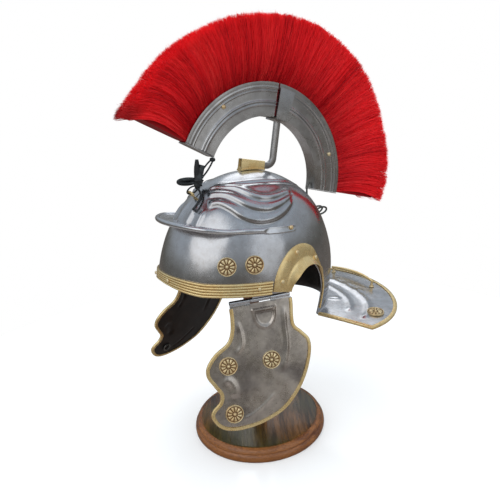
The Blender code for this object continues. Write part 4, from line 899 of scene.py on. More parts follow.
def make_neck_edging():
    """The channel round the neck guard's rim."""
    steps = 264
    share = np.arange(steps + 1) / steps
    share[0], share[-1] = 0.005, 0.995
    rim = guard_rim(share)
    along = unit(np.gradient(rim, axis=0))
    lifts = guard_normal(rim[:, 0])
    outs = unit(np.cross(along, lifts))
    away = rim - np.array([0, GUARD["widest"] * 0.9, 0])
    outs *= np.sign(np.einsum("ij,ij->i", outs[:, :2], away[:, :2]))[:, None]
    rings = channel(rim - lifts * SHEET / 2, outs, lifts, SHEET, 3.6)
    solid("neck_edging_rolled", [skin(rings)], BRASS, "neck_guard_edging", 50)


def rosette(seat, normal, spin=0.0):
    """A cast flower on a disc: points, faces and the painted shade at each point."""
    radius, height, petals = 10.5, 2.9, 11
    steps, rows = 132, 22
    side = unit(np.cross(normal, [0.1, 0.2, 0.97] if abs(normal[2]) < 0.9 else [0, 1, 0]))
    other = np.cross(normal, side)
    r = np.concatenate([np.linspace(0.03, 0.9, rows - 4), [0.935, 0.965, 0.99, 1.0]])
    a = np.arange(steps) * 2 * math.pi / steps
    rr, aa = np.meshgrid(r, a, indexing="ij")
    wave = np.abs(np.cos(petals * (aa + spin) / 2))
    inside = ease(0, 1, (rr - 0.26) / 0.10) * ease(1, 0, (rr - 0.74) / 0.08)
    ridge = np.clip(wave - 0.28, 0, 1) ** 0.55
    petal = inside * ridge * (0.55 + 0.45 * np.sin(math.pi * np.clip((rr - 0.25) / 0.56, 0, 1)) ** 0.6)
    boss = ease(1, 0, (rr - 0.10) / 0.13)
    rim = hump(rr - 0.93, 0.045)
    rise = 0.30 + 0.62 * petal + 0.75 * boss * np.sqrt(np.clip(1 - (rr / 0.26) ** 2, 0, 1)) + 0.48 * rim
    rise = rise * height * np.where(rr > 0.985, 0.55, 1) * np.where(rr >= 1, 0.0, 1)
    # painted shade in the gaps between the petals, the boss and the rim
    dark = np.clip(1.15 - 1.8 * petal - 1.6 * boss - 1.7 * rim, 0, 1) * (rr < 0.97)
    way = side * np.cos(aa)[..., None] + other * np.sin(aa)[..., None]
    p = np.asarray(seat) + way * (rr * radius)[..., None] + normal * rise[..., None]
    index = np.arange(rows * steps).reshape(rows, steps)
    points = np.vstack([p.reshape(-1, 3), seat + normal * height * 1.05])
    cap = np.stack([np.full(steps, len(points) - 1), np.roll(index[0], -1), index[0]], -1)
    return points, [around(index[:-1], index[1:]), cap, index[-1:]], np.concatenate([dark.ravel(), [0]])


def rivet(seat, normal, radius):
    """A domed head on a thin straight edge."""
    edge, height = 0.15, radius * 0.72
    dome = [(radius * math.cos(a), height * math.sin(a) + edge) for a in np.radians([8, 25, 45, 65, 80])]
    return turned([(0, 0), (radius, 0), *dome, (0, height + edge)], 20, seat, normal)


def make_bowl_trim():
    """Rosettes and rivets on the bowl, the neck guard and the crest box."""
    for side, hand in HANDS:
        for i, (along, up) in enumerate(BOWL_ROSETTES):
            seat = bowl_point(side, along, up, GAP)
            add_rosette(f"bowl_{hand}_{i + 1}", seat, bowl_normal(seat), 0.2 * i)
        across, along = GUARD_ROSETTE
        seat = np.array([side * across, along, float(guard_height(across, along))])
        lift = guard_normal(side * across)
        add_rosette(f"guard_{hand}", seat + lift * GAP * 1.6, lift, 0.1)
        rivets = []
        for i, degrees in enumerate((12, 73)):
            turn = math.radians(degrees)
            up = float(front_rim(turn)) + BAND_HEIGHT * (0.4 if degrees < 40 else 0.55)
            seat = bowl_at(side * turn, up, GAP * 2 + 2.5)
            rivets.append(("band", f"{hand}_{i + 1}", seat, bowl_normal(seat * [1, 1, 0]), 2.25))
        for i, (along, up) in enumerate(((-6, 11.1), (11.6, 43), (41.6, 36.5))):
            seat = bowl_point(side, along, up, GAP * 2 + 1.3)
            rivets.append(("ear", f"{hand}_{i + 1}", seat, bowl_normal(seat), 2.5))
        arm_end = 4
        seat = bowl_point(side, arm_end, BROW_LEVEL + BROW_RISE * (arm_end - BROW_FROM), 2.2 + GAP * 4)
        rivets.append(("brow", hand, seat, bowl_normal(seat), 2.5))
        for i, degrees in enumerate((-40.5, 66)):
            seat = crest_point(CREST_OUTER - 11.8, math.radians(degrees), side * (CREST_HALF + GAP))
            rivets.append(("crest", f"{hand}_{i + 1}", seat, np.array([side, 0, 0.0]), 2.5))
        for part, tail, seat, normal, radius in rivets:
            solid(f"rivet_{part}_{tail}", [rivet(seat, normal, radius)], BRASS_ROSETTE,
                  f"{part}_rivet_{tail}", 0)


def add_rosette(place, seat, normal, spin, body="helmet"):
    """A rosette for a place such as bowl_left_1, in the place of the node bowl_rosette_left_1."""
    points, faces, dark = rosette(seat, normal, spin)
    part, tail = place.split("_", 1)
    solid(f"rosette_{place}", [(points, faces)], BRASS_ROSETTE, f"{part}_rosette_{tail}", 0, body,
          values={"painted_shade": dark})


# ---- crest

def crest_point(radius, turn, across):
    """Points of the crest's arc: a radius, an angle from straight up towards the rear, and a place across."""
    radius, turn, across = np.broadcast_arrays(radius, turn, across)
    return np.stack([across, CREST_AT + radius * np.sin(turn), CREST_LEVEL + radius * np.cos(turn)], -1)


def make_crest_box():
    """The curved channel in two lengths, its end plates and the strap under it."""
    def bulge(share):
        """How far the side stands out at a share of its depth: a rolled flange, a bead and a double rib."""
        flange = 1.1 * ease(0, 1, (share - 0.79) / 0.05) * (1 - 0.25 * np.cos((share - 0.9) * 30) ** 2)
        bead = 0.7 * hump(share - 0.745, 0.016)
        ribs = 1.25 * hump(share - 0.435, 0.028) + 1.1 * hump(share - 0.34, 0.028)
        return flange + bead + ribs

    depth = CREST_OUTER - CREST_INNER
    share = np.concatenate([np.linspace(0, 1, 12), np.linspace(0.28, 0.5, 20), np.linspace(0.70, 0.92, 18)])
    share = np.unique(share)[::-1]
    outer = np.stack([CREST_HALF + bulge(share), CREST_INNER + depth * share], -1)
    inside = [(-CREST_HALF + CREST_WALL, CREST_OUTER), (-CREST_HALF + CREST_WALL, CREST_INNER + CREST_WALL)]
    section = np.vstack([outer, mirror(outer), inside, mirror(inside)])
    # painted shade in the groove of the double rib and between the bead and the flange
    dark = 0.5 * hump(share - 0.388, 0.012) + 0.4 * hump(share - 0.775, 0.01)
    shade = np.concatenate([dark, dark[::-1], np.zeros(4)])
    parts = []
    values = []
    for start, end, steps in ((CREST_FRONT, math.radians(1.7), 90), (math.radians(2.7), CREST_REAR, 110)):
        turns = np.linspace(start, end, steps + 1)
        rings = crest_point(section[None, :, 1], turns[:, None], section[None, :, 0])
        parts.append(skin(rings))
        values.append(np.tile(shade, steps + 1))
    solid("crest_box_pressed", parts, STEEL_CREST, "crest_box", 35,
          values={"painted_shade": np.concatenate(values)})
    for name, turn, sense in (("front", CREST_FRONT, -1), ("rear", CREST_REAR, 1)):
        along = np.array([0, math.cos(turn), -math.sin(turn)]) * sense
        shape = rounded(CREST_HALF + CREST_BULGE, (depth + 1.2) / 2, 1.6)
        middle = (CREST_OUTER + CREST_INNER) / 2
        rings = []
        for step, shrink in ((GAP, 0.25), (GAP + 0.25, 0), (1.0, 0), (1.2, 0.25)):
            size = shape * (1 - shrink / (CREST_HALF + CREST_BULGE))
            rings.append(crest_point(middle + size[:, 1], turn, size[:, 0]) + along * step)
        solid(f"crest_end_plate_{name}", [skin(rings)], STEEL_CREST, f"crest_end_{name}", 35)
    half_angle = 9 / ((CREST_INNER + CREST_OUTER) / 2)
    inner = CREST_HALF + CREST_BULGE + GAP
    outer_x = inner + 1.5
    reach, floor = CREST_OUTER - 4, CREST_INNER - GAP
    right = [(outer_x - 0.3, reach), (outer_x, reach - 0.6), (outer_x, floor - 0.9),
             (outer_x - 0.6, floor - 1.5)]
    inside = [(-inner, reach), (-inner, floor)]
    section = np.array([*right, *mirror(right), *inside, *mirror(inside)])
    turns = math.radians(8.6) + half_angle * np.linspace(-1, 1, 13)
    rings = crest_point(section[None, :, 1], turns[:, None], section[None, :, 0])
    solid("crest_clamp_strap", [skin(rings)], STEEL_CREST, "crest_clamp", 35)


def make_rod_and_holder():
    """The bent bar that carries the crest, and the folded holder that it slides into."""
    half, depth, wall, run = 2.7, 7.4, 1.2, 0.35
    centre = crown_line(0) + GAP + wall + run + depth / 2
    rod_at, bend = 18.0, 6.0
    strap = CREST_INNER - 1.5 - 2 * GAP
    top = CREST_LEVEL + math.sqrt(strap ** 2 - (rod_at + depth / 2 - CREST_AT) ** 2) - GAP
    corner = np.array([0, rod_at - depth / 2 - bend, centre + depth / 2 + bend])
    path = [(np.array([0, y, centre]), np.array([0, 0, 1.0])) for y in np.linspace(-23.5, corner[1] - 0.5, 6)]
    for a in np.linspace(0, math.pi / 2, 13):
        inward = np.array([0, -math.sin(a), math.cos(a)])
        path.append((corner - inward * (bend + depth / 2), inward))
    path += [(np.array([0, rod_at, z]), np.array([0, -1.0, 0])) for z in np.linspace(corner[2] + 2, top, 8)]
    shape = rounded(half, depth / 2, 0.9)
    rings = [p + np.outer(shape[:, 0], [1, 0, 0]) + np.outer(shape[:, 1], inward) for p, inward in path]
    solid("crest_rod_bent", [skin(rings)], STEEL_CREST, "crest_rod", 35)
    low = centre - depth / 2 - run
    high = centre + depth / 2 + run
    foot_half, inner = 6.2, half + run
    rings_out, rings_in = [], []
    for along in np.linspace(-26.5, 5, 16):
        foot = crown_line(along) + GAP
        x = inner + wall
        right = [(foot_half - 0.4, foot), (foot_half, foot + 0.5), (foot_half, foot + 1.2),
                 (foot_half - 0.6, foot + 1.7), (x + 0.5, foot + 1.9), (x, foot + 2.4),
                 (x, high + wall - 1.2), (x - 0.4, high + wall - 0.4), (x - 1.2, high + wall)]
        rings_out.append([(a, along, b) for a, b in right + mirror(right)])
        hole = [(inner, low), (inner, high), (-inner, high), (-inner, low)]
        rings_in.append([(a, along, b) for a, b in hole])
    rings_out, rings_in = np.array(rings_out), np.array(rings_in)
    n, m = rings_out.shape[:2]
    outer_index = np.arange(n * m).reshape(n, m)
    inner_index = n * m + np.arange(n * 4).reshape(n, 4)
    faces = [around(outer_index[:-1], outer_index[1:]), around(inner_index[:-1], inner_index[1:])[:, ::-1]]
    # Each end is closed by four faces, from points of the outside to two corners of the hole
    groups = ((1, range(4, 9)), (2, range(9, 14)), (3, range(13, 18)), (0, (17, 0, 1, 2, 3, 4)))
    ends = []
    for end, sense in ((0, 1), (n - 1, -1)):
        for corner_at, spots in groups:
            hole = inner_index[end]
            ends.append(([*outer_index[end, list(spots)], hole[corner_at], hole[corner_at - 1]], sense))
    for size in sorted({len(f) for f, _ in ends}):
        faces.append(np.array([f[::sense] for f, sense in ends if len(f) == size]))
    points = np.vstack([rings_out.reshape(-1, 3), rings_in.reshape(-1, 3)])
    solid("crest_holder_folded", [(points, faces)], BRASS, "crest_holder", 35)


def plume_length(share):
    """The hair's length at a share of the crest's arc."""
    rows = np.array(PLUME_REACH)
    return PLUME_LENGTH * np.interp(share, rows[:, 0], rows[:, 1])


def make_plume():
    """A core, dark with painted shade, and many thousand fine ribbons over it, gathered in locks."""
    block = CREST_HALF - CREST_WALL - GAP
    root = CREST_OUTER + 1.0
    share = np.linspace(0, 1, 121)
    inset = GAP / CREST_INNER
    turns = CREST_FRONT + inset + (CREST_REAR - CREST_FRONT - 2 * inset) * share
    section = ((0.10, 0.20), (0.35, 0.34), (0.65, 0.50), (0.84, 0.50))
    rings = []
    for s, turn in zip(share, turns):
        length = float(plume_length(s)) * 0.92
        flare = 27 * float(ease(0.8, 1, min(s, 1 - s) * 6))
        half = [(block, CREST_INNER + CREST_WALL + GAP), (block, root)]
        half += [(block + (flare - block) * wide, root + length * out) for out, wide in section]
        half += [(0.01, root + length * 0.97)]
        rings.append([crest_point(r, turn, x) for x, r in half + mirror(half[:-1])])
    points, faces = skin(rings)
    count = len(points)
    # the core takes the darkest hair colour: painted shade that shows between the locks
    solid("plume_core", [(points, faces)], HAIR, "plume", 40,
          values={"depth": np.full(count, 0.0), "chance": np.full(count, 0.1), "tip": np.full(count, 0.25)})
    each = RIBBONS
    segments = 5
    for batch, kind in enumerate(("left", "right", "top")):
        rng = np.random.default_rng(20 + batch)
        s = rng.uniform(0, 1, each)
        lock = np.floor(s * LOCKS + rng.normal(0, 0.22, each))
        lock_mid = (lock + 0.5) / LOCKS
        lock_rng = np.random.default_rng(5 + batch)
        lock_value = lock_rng.uniform(0, 1, LOCKS + 3)
        lock_sway = lock_rng.normal(0, 1, LOCKS + 3)
        key = np.clip(lock, 0, LOCKS + 2).astype(int)
        if kind == "top":
            side = rng.uniform(-1, 1, each)
            start = rng.uniform(0.25, 0.6, each)
        else:
            sign = 1 if kind == "left" else -1
            side = sign * (1 - np.abs(rng.normal(0, 0.16, each)))
            start = np.where(rng.uniform(size=each) < 0.75, 0, rng.uniform(0, 0.5, each))
        length = plume_length(np.clip(s, 0, 1)) * (1.012 - np.abs(rng.normal(0, 0.022, each)))
        length *= 1 - 0.018 * lock_value[key]
        length -= 5.0 * np.abs(side) ** 3
        length += rng.uniform(size=each) ** 14 * 2.5
        ends = np.minimum(s, 1 - s)
        flare = 26.5 * ease(0.86, 1, ends * 6) * (1 - 0.05 * lock_value[key])
        t = np.linspace(0, 1, segments + 1)[None]
        out = start[:, None] + (1 - start[:, None]) * t
        tip_s = s + 0.30 * (lock_mid - s) + rng.normal(0, 0.006, each) + 0.0035 * lock_sway[key]
        turn0 = CREST_FRONT + (CREST_REAR - CREST_FRONT) * np.clip(s, 0.004, 0.996)
        turn1 = CREST_FRONT + (CREST_REAR - CREST_FRONT) * np.clip(tip_s, -0.004, 1.004)
        sweep = math.radians(2.0) * (1 - 2 * s)[:, None] * 4 * out * (1 - out)
        turn = turn0[:, None] + (turn1 - turn0)[:, None] * out ** 1.5 + sweep
        radius = root - 1.5 + (length[:, None] + 1.5) * out
        x0 = block * side * rng.uniform(0.85, 1, each)
        spread = np.interp(out, (0, 0.10, 0.35, 0.68, 0.93, 1), (0, 0.30, 0.58, 0.86, 1.0, 1.02))
        across = x0[:, None] + (side * flare - x0)[:, None] * spread
        stray = rng.normal(0, 0.35, each)[:, None] * out
        across += stray + (rng.normal(0, 0.8, each)[:, None] * (out - 0.8).clip(0) * 5)
        centre = crest_point(radius, turn, across)
        centre[..., 2] -= 5.5 * ease(1, 0, s / 0.16)[:, None] * ((out - 0.45) / 0.55).clip(0) ** 1.6
        arc_way = np.stack([np.zeros_like(turn), np.cos(turn), -np.sin(turn)], -1)
        roll = rng.normal(0, 0.6, each)[:, None, None]
        if kind == "top":
            roll = rng.uniform(0, math.pi, each)[:, None, None]
        wide = arc_way * np.cos(roll) + X_WAY * np.sin(roll)
        thick = rng.uniform(0.28, 0.55, each)[:, None] * (1 - 0.6 * t ** 3)
        left = centre - wide * thick[..., None] / 2
        right = centre + wide * thick[..., None] / 2
        points = np.stack([left, right], 2).reshape(-1, 3)
        base = (np.arange(each) * (segments + 1) * 2)[:, None] + np.arange(segments)[None] * 2
        faces = np.stack([base, base + 1, base + 3, base + 2], -1).reshape(-1, 4)
        hue = np.clip(0.5 * rng.uniform(size=each) + 0.5 * lock_value[key], 0, 1)
        # painted shade: darker towards the roots
        depth = 0.10 + 0.9 * out ** 0.75
        # painted shade at the ends of the front hair
        front_tip_shade = ease(1, 0, s / 0.05)[:, None] * ease(0, 1, (out - 0.8) / 0.2) * 0.7
        hue = np.broadcast_to(hue[:, None], out.shape)
        values = {word: np.repeat(value.ravel(), 2)
                  for word, value in (("depth", depth), ("chance", hue), ("tip", front_tip_shade))}
        make(f"plume_hair_{kind}", points, [faces], HAIR, "", 0, values=values)


# ---- loops, thong and handle

def oval(centre, long_way, long, short_way, short, steps):
    """Points round an ellipse, from two ways across it and its half sizes."""
    a = np.arange(steps)[:, None] * 2 * math.pi / steps
    long_way, short_way = np.asarray(long_way), np.asarray(short_way)
    return np.asarray(centre) + long_way * long * np.cos(a) + short_way * short * np.sin(a)


def make_loops():
    """The wire loops on the front and the back of the bowl, and the hook that holds the crest's rear end."""
    normal = bowl_normal(bowl_at(0, LOOP_LEVEL))
    centre = bowl_at(0, LOOP_LEVEL, GAP + WIRE + LOOP_HALF)
    ring = oval(centre, X_WAY, 5, normal, LOOP_HALF, 40)
    solid("front_loop_wire", [tube(ring, WIRE, 12, True)], BRASS, "front_loop", 0)
    for name, across in (("left", 4.5), ("right", -4.5)):
        seat = bowl_at(math.pi, 80, WIRE + GAP * 0.2)
        normal = unit([0, 1, 0.25])
        a = np.arange(44)[:, None] * 2 * math.pi / 44
        ring = seat + X_WAY * across + normal * (9 - np.cos(a) * 9) + np.array([0, 0, 1.0]) * np.sin(a) * 4.5
        solid(f"rear_loop_wire_{name}", [tube(ring, WIRE, 12, True)], STEEL_WIRE, f"rear_loop_{name}", 0)
    corner = crest_point(CREST_INNER - WIRE - GAP, CREST_REAR - math.radians(6), 0)
    foot = bowl_at(math.pi, 96, GAP + WIRE)
    path = spline([corner, crest_point(CREST_INNER - 4, CREST_REAR, 0), foot], 14)
    solid("rear_hook_wire", [tube(path, WIRE, 12)], STEEL_WIRE, "rear_hook", 0)


def make_thong():
    """The leather thong: knot, bow and tails, and its turns through the crest's end and the front loop."""
    knot = np.array([0, -78, 108.0])
    r = 2.0  # half the thong's width, which the other measures follow
    rows = [(x * r, z * r) for x, z in ((0, -5), (1.5, -4), (2.2, -2.4), (2.7, -0.4), (2.6, 1.6), (2.0, 3.4),
                                        (1.1, 4.6), (0, 5))]
    points, faces = turned(rows, 40, knot)
    swirl = np.arctan2(points[:, 1] - knot[1], points[:, 0])
    rise = (points[:, 2] - knot[2]) / r
    points = knot + (points - knot) * (1 + 0.10 * np.sin(2 * swirl + rise * 1.3))[:, None]
    parts = [(points, faces)]

    def bight(centre, way, long, wide, steps, radius, sides=10, flat=1.0):
        """A closed loop of leather in the helmet's middle plane."""
        path = oval(centre, way, long, unit(np.cross(X_WAY, way)), wide, steps)
        parts.append(tube(path, radius, sides, True, flat))

    for tilt, size in ((0.5, 5.3), (-0.55, 5.0), (0.1, 5.4)):
        way = unit([0, math.cos(tilt), math.sin(tilt)])
        parts.append(tube(oval(knot + [0, 0, tilt * 4], X_WAY, size, way, size, 40), 1.3, 10, True, 0.75))
    lump = crest_point(CREST_INNER - 3.4, CREST_FRONT - math.radians(2.4), 0)
    eye = bowl_at(0, LOOP_LEVEL, GAP + WIRE + LOOP_HALF) + bowl_normal(bowl_at(0, LOOP_LEVEL)) * LOOP_HALF
    foot = knot + [0, 0, -3.6 * r]
    for start, reach, wide, steps, radius in ((knot, (lump - knot) / 2, 2.6, 48, r * 0.5),
                                              (foot, (eye - foot) / 2 * 1.24, 3.5, 44, r * 0.45)):
        long = np.linalg.norm(reach)
        bight(start + reach, reach / long, long, wide, steps, radius)
    way = unit([0, -1, -0.14])
    bight(knot + way * 13, way, 10.4, 2.3, 48, r * 1.35, 12, 0.85)
    steps = 12
    t = np.linspace(0, 1, 2 * steps + 1)
    stub = spline([knot + m for m in ((0, 0, 3), (0, -2, 12), (0, -3.4, 23))], steps)
    parts.append(tube(stub, r * (2.1 - 1.2 * t ** 2), 12))
    lobe = spline([knot + m for m in ((1, 0, 2), (1, 2, 11), (1, 3, 17.5))], steps)
    parts.append(tube(lobe, r * (2.1 - 0.5 * t), 12))
    wrap = np.array([lump + X_WAY * step * 4 for step in np.linspace(-1, 1, 17)])
    swell = 1.6 + 0.95 * np.sin(np.linspace(0, math.pi, 17)) ** 0.5
    parts.append(tube(wrap, swell, 14))
    marks = [foot] + [bowl_point(1, a, u, 3.2) for a, u in ((-77.6, 91.6), (-83, 83), (-88, 75.7))]
    parts.append(tube(spline(marks, 10), r * 0.75, 10, False, 0.8))
    solid("thong_knotted", parts, LEATHER, "thong", 0)


def make_handle():
    """The carrying handle on the neck guard, a low bow between two studs."""
    span, at, lift_by, end = 41.0, 176.0, 6.0, 1.5
    for side, hand in HANDS:
        lift = guard_normal(side * span)
        seat = np.array([side * span, at, float(guard_height(span, at)) + GAP * 1.6])
        rows = [(0, 0), (3.3, 0), (3.4, 0.5), (3.2, 1.1), (1.9, 1.7), (1.7, 2.2), (1.7, lift_by - 0.9),
                (1.4, lift_by - 0.3), (0, lift_by)]
        solid(f"handle_stud_turned_{hand}", [turned(rows, 24, seat, lift)], BRASS_ROSETTE,
              f"handle_stud_{hand}", 50)
    across = span * 1.07 * np.linspace(-1, 1, 61)
    bow = 1 - (across / span) ** 2
    up = float(guard_height(span, at)) + lift_by + end + GAP * 3 + 2 * bow
    path = np.stack([across, at - 0.2 * lift_by + 6 * bow, up], -1)
    radius = end + 0.9 * np.sin(math.pi * np.linspace(0, 1, 61))
    solid("carry_handle_bar", [tube(path, radius, 16)], BRASS, "carry_handle", 0)


# ---- cheek pieces

def hinge_frame(side, swing):
    """A cheek piece's hinge: its rear end, the ways along, down and out of the piece, and its length."""
    up = np.array([0, math.sin(PITCH), math.cos(PITCH)])
    rear = np.array([84.5 * side, 6.3, 0.6 - HINGE_DROP])
    front = np.array([67 * side, -59.5, -14 - HINGE_DROP])
    along = unit(rear - front)
    down = -unit(up - along * up.dot(along))
    out = unit(np.cross(along, down))
    out = out if out[0] * side > 0 else -out
    return (rear, along, down * math.cos(swing) + out * math.sin(swing),
            out * math.cos(swing) - down * math.sin(swing), float(np.linalg.norm(rear - front)))


def cheek_relief(u, w):
    """How far the pressed work stands out from a cheek piece, and its painted shade, at places along and down
    it in millimetres.
    """
    p = np.stack([u, w, np.zeros_like(u)], -1).reshape(-1, 3)
    out = 0.18 * ripple(p, 12, 38)
    dark = np.zeros(len(p))
    for height, width, table in CHEEK_LINES:
        d, _, share = near_line(p, spline([(a * CHEEK_WIDTH, b * CHEEK_LENGTH, 0) for a, b in table], 8))
        out += height * fade(share, 0.15, 0.2) * hump(d, width)
    # A raised D with its straight side up, hollow inside
    cu, cw = -0.300 * CHEEK_WIDTH, 0.077 * CHEEK_LENGTH
    wide, tall = 0.125 * CHEEK_WIDTH, 0.155 * CHEEK_LENGTH
    a = np.linspace(0, math.pi, 40)
    shape = np.stack([cu + (wide - 1.3) * np.cos(a), cw + 1.3 + (tall - 2.6) * np.sin(a) ** 0.8, a * 0], -1)
    d, _, _ = near_line(p, shape)
    out += 1.3 * hump(d, 1.25)
    top = np.array([[cu - wide + 1.3, cw + 0.6, 0], [cu + wide - 1.3, cw + 0.6, 0]])
    dt, _, _ = near_line(p, top)
    out = np.maximum(out, 1.9 * ease(1, 0, (dt - 1.3) / 1.0))
    x, y = (p[:, 0] - cu) / (wide - 2.2), (p[:, 1] - cw - 2.2) / (tall - 4.4)
    inside = (np.abs(x) < 1) & (y > 0) & (y < np.sqrt(np.clip(1 - x * x, 0, 1)) ** 0.8)
    out -= 0.9 * inside * ease(0, 1, (d - 0.8) / 2) * ease(0, 1, (dt - 1.5) / 2)
    # painted shade inside the D
    dark += 0.5 * inside * ease(0, 1, (dt - 1.2) / 1) * ease(1, 0, (dt - 3.0) / 4)
    return out.reshape(u.shape), dark.reshape(u.shape)


def make_cheek(side, hand):
    """A cheek piece with its knuckles, edging, rosettes and tie ring, and the hinge that it hangs on."""
    rear, along, down, out, length = hinge_frame(side, SWING[hand])
    body = f"{hand}_cheek"

    def place(u, w, n):
        """Points from their places along, down and out of the piece."""
        u, w, n = (np.asarray(v, float)[..., None] for v in np.broadcast_arrays(u, w, n))
        return rear + along * u + down * w + out * n

    marks = np.array([(u * CHEEK_WIDTH, w * CHEEK_LENGTH) for u, w in CHEEK_OUTLINE])
    top = KNUCKLE * 1.4
    marks[0, 1] = marks[-1, 1] = top
    path = spline(marks, 10)
    bottom = int(np.argmax(path[:, 1]))
    front, back = path[:bottom + 1], path[bottom:][::-1]
    rows, columns = 150, 84
    t = np.linspace(0, 1, rows + 1)
    w = top + (path[bottom, 1] - top) * np.sin(math.pi / 2 * t) ** 0.999
    front_w = np.maximum.accumulate(front[:, 1])
    back_w = np.maximum.accumulate(back[:, 1])
    left = np.interp(w, front_w, front[:, 0])
    right = np.interp(w, back_w, back[:, 0])
    s = np.linspace(0, 1, columns + 1)
    u = left[:, None] + (right - left)[:, None] * s
    ww = np.broadcast_to(w[:, None], u.shape)
    rise, dark = cheek_relief(u, ww)
    flat = np.stack([u, ww, np.zeros_like(u)], -1).reshape(-1, 3)
    d, _, _ = near_line(flat, np.column_stack([path, np.zeros(len(path))]))
    edge = ease(0, 1, (d - 2.6) / 1.6).reshape(u.shape)
    rise = rise * edge
    half = SHEET / 2
    outer = place(u, ww, half + rise)
    inner = place(u, ww, -half + rise)
    index = np.arange(u.size).reshape(u.shape)
    quads = across_grid(index)
    rim = np.concatenate([index[0, :-1], index[:-1, -1], index[-1, :0:-1], index[:0:-1, 0]])
    shift = u.size
    strip = np.stack([rim, np.roll(rim, -1), np.roll(rim, -1) + shift, rim + shift], -1)
    faces = [quads, quads[:, ::-1] + shift, strip]
    points = np.vstack([outer.reshape(-1, 3), inner.reshape(-1, 3)])
    faces = outward(points, faces)
    which = np.repeat([0, 1, 0], [len(quads), len(quads), len(strip)])
    # painted shade of the pressed work, faded out at the rim; none on the inner face
    painted_shade = np.concatenate([(dark * edge).ravel(), np.zeros(shift)])
    make(f"cheek_sheet_{hand}", points, faces, [STEEL_CHEEK, BLACK], f"cheek_plate_{hand}", 50, body,
         values={"painted_shade": painted_shade}, which=which)
    third = length / 3
    parts = []
    for start, end in ((-length, -length + third - GAP), (-third + GAP, 0)):
        rows_k = [(0.001, start), (KNUCKLE - 0.4, start), (KNUCKLE, start + 0.4), (KNUCKLE, end - 0.4),
                  (KNUCKLE - 0.4, end), (0.001, end)]
        parts.append(turned(rows_k, 28, rear, along))
        tab = np.array([(KNUCKLE * 0.55, -half), (KNUCKLE * 0.55, half), (KNUCKLE * 1.4 + 1.5, half),
                        (KNUCKLE * 1.4 + 1.5, -half)])
        parts.append(skin([place(np.full(4, a), tab[:, 0], tab[:, 1]) for a in (start, end)]))
    solid(f"cheek_knuckles_{hand}", parts, STEEL_BRIGHT, "", 40, body)
    ring_path = spline(marks, 12)[2:-2]
    direction = unit(np.gradient(ring_path, axis=0))
    outs2 = np.stack([-direction[:, 1], direction[:, 0]], -1)
    centre = ring_path.mean(0)
    vote = np.sign(np.sum(np.einsum("ij,ij->i", outs2, ring_path - centre)))
    outs2 = outs2 * vote
    zero = np.zeros(len(ring_path))
    points = place(ring_path[:, 0], ring_path[:, 1], zero)
    outs = along * outs2[:, :1] + down * outs2[:, 1:]
    lifts = np.broadcast_to(out, points.shape)
    rings = channel(points, outs, lifts, SHEET, 2.7)
    solid(f"cheek_edging_rolled_{hand}", [skin(rings)], BRASS, f"cheek_edging_{hand}", 50, body)
    for i, (a, b) in enumerate(CHEEK_ROSETTES):
        seat = place(a * CHEEK_WIDTH, b * CHEEK_LENGTH, half + GAP)
        add_rosette(f"cheek_{hand}_{i + 1}", seat, out, 0.15 * i, body)
    a, b = CHEEK_ROSETTES[2]
    centre = place(a * CHEEK_WIDTH, b * CHEEK_LENGTH + 3, -half - GAP - WIRE)
    ring = oval(centre, along, 5, down, 5, 40)
    solid(f"tie_ring_wire_{hand}", [tube(ring, 1.08, 12, True)], STEEL_WIRE, f"tie_ring_{hand}", 0, body)
    make_hinge(side, hand, third)


def make_hinge(side, hand, third):
    """The fixed middle knuckle with the pin through it, and the leaf that joins it to the bowl."""
    rear, along, _, out, length = hinge_frame(side, 0)
    pin = 1.2
    front, back = -2 * third + GAP, -third - GAP
    rows = [(0.001, -length + 0.05), (pin, -length + 0.05), (pin, front), (KNUCKLE - 0.4, front),
            (KNUCKLE, front + 0.4), (KNUCKLE, back - 0.4), (KNUCKLE - 0.4, back),
            (pin, back), (pin, -0.05), (0.001, -0.05)]
    parts = [turned(rows, 28, rear, along)]
    place = rear - along * 2 * third
    section = []
    for share in np.linspace(0.08, 0.92, 9):
        foot = place + along * third * share
        wall = bowl_point(side, foot[1], foot[2] + 11, -SHEET - GAP * 4 - 0.6)
        section.append([foot + out * 0.6, foot - out * 0.6, wall - out * 0.6, wall + out * 0.6])
    parts.append(skin(section))
    solid(f"hinge_middle_{hand}", parts, STEEL_BRIGHT, f"hinge_{hand}", 40)


# ---- stand

def make_stand():
    """The round base with its moulded edge, and the post under the crown."""
    edge, top, flat = 90.0, 17.0, 80.8
    rows = [(0, 0)]
    rows += [(edge - inset, level) for inset, level in (
        (2, 0), (0.9, 0.4), (0.2, 1.6), (0, 3.4), (0.15, 5.6), (0.7, 7.6), (1.7, 9.0), (2.6, 9.6),
        (3.0, 10.0), (2.9, 10.5), (3.1, 11.6), (3.8, 13.2), (5.0, 14.8), (6.6, 16.0), (8.0, 16.6))]
    rows += [(flat + 0.6, 16.8), (flat + 0.1, 16.5), (flat - 0.5, 16.55), (flat - 1.2, 16.9),
             (flat - 2.4, top), (60, top), (30, top), (0, top)]
    points, faces = turned(rows, BASE_STEPS)
    faces = outward(points, faces)
    which = np.zeros(sum(map(len, faces)))
    which[:EDGE_ROWS * BASE_STEPS] = 1
    make("base_turned", points, faces, [WOOD_TOP, WOOD_EDGE], "base", 30, world=True, which=which)
    box_low, box_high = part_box("post")
    low, high = box_low.z * 1000, box_high.z * 1000
    widest = 9.98
    rows = [(0, low), (widest, low), (widest, low + 1), (widest, low + 4), (widest, low + 5.5),
            (9.8, low + 8), (9.9, low + 60), (9.9, high - 14), (9.6, high - 5), (8, high - 1.8),
            (5, high - 0.4), (0, high)]
    solid("post_turned", [turned(rows, 40)], WOOD_EDGE, "post", 40, world=True)


# ---- camera, light and floor

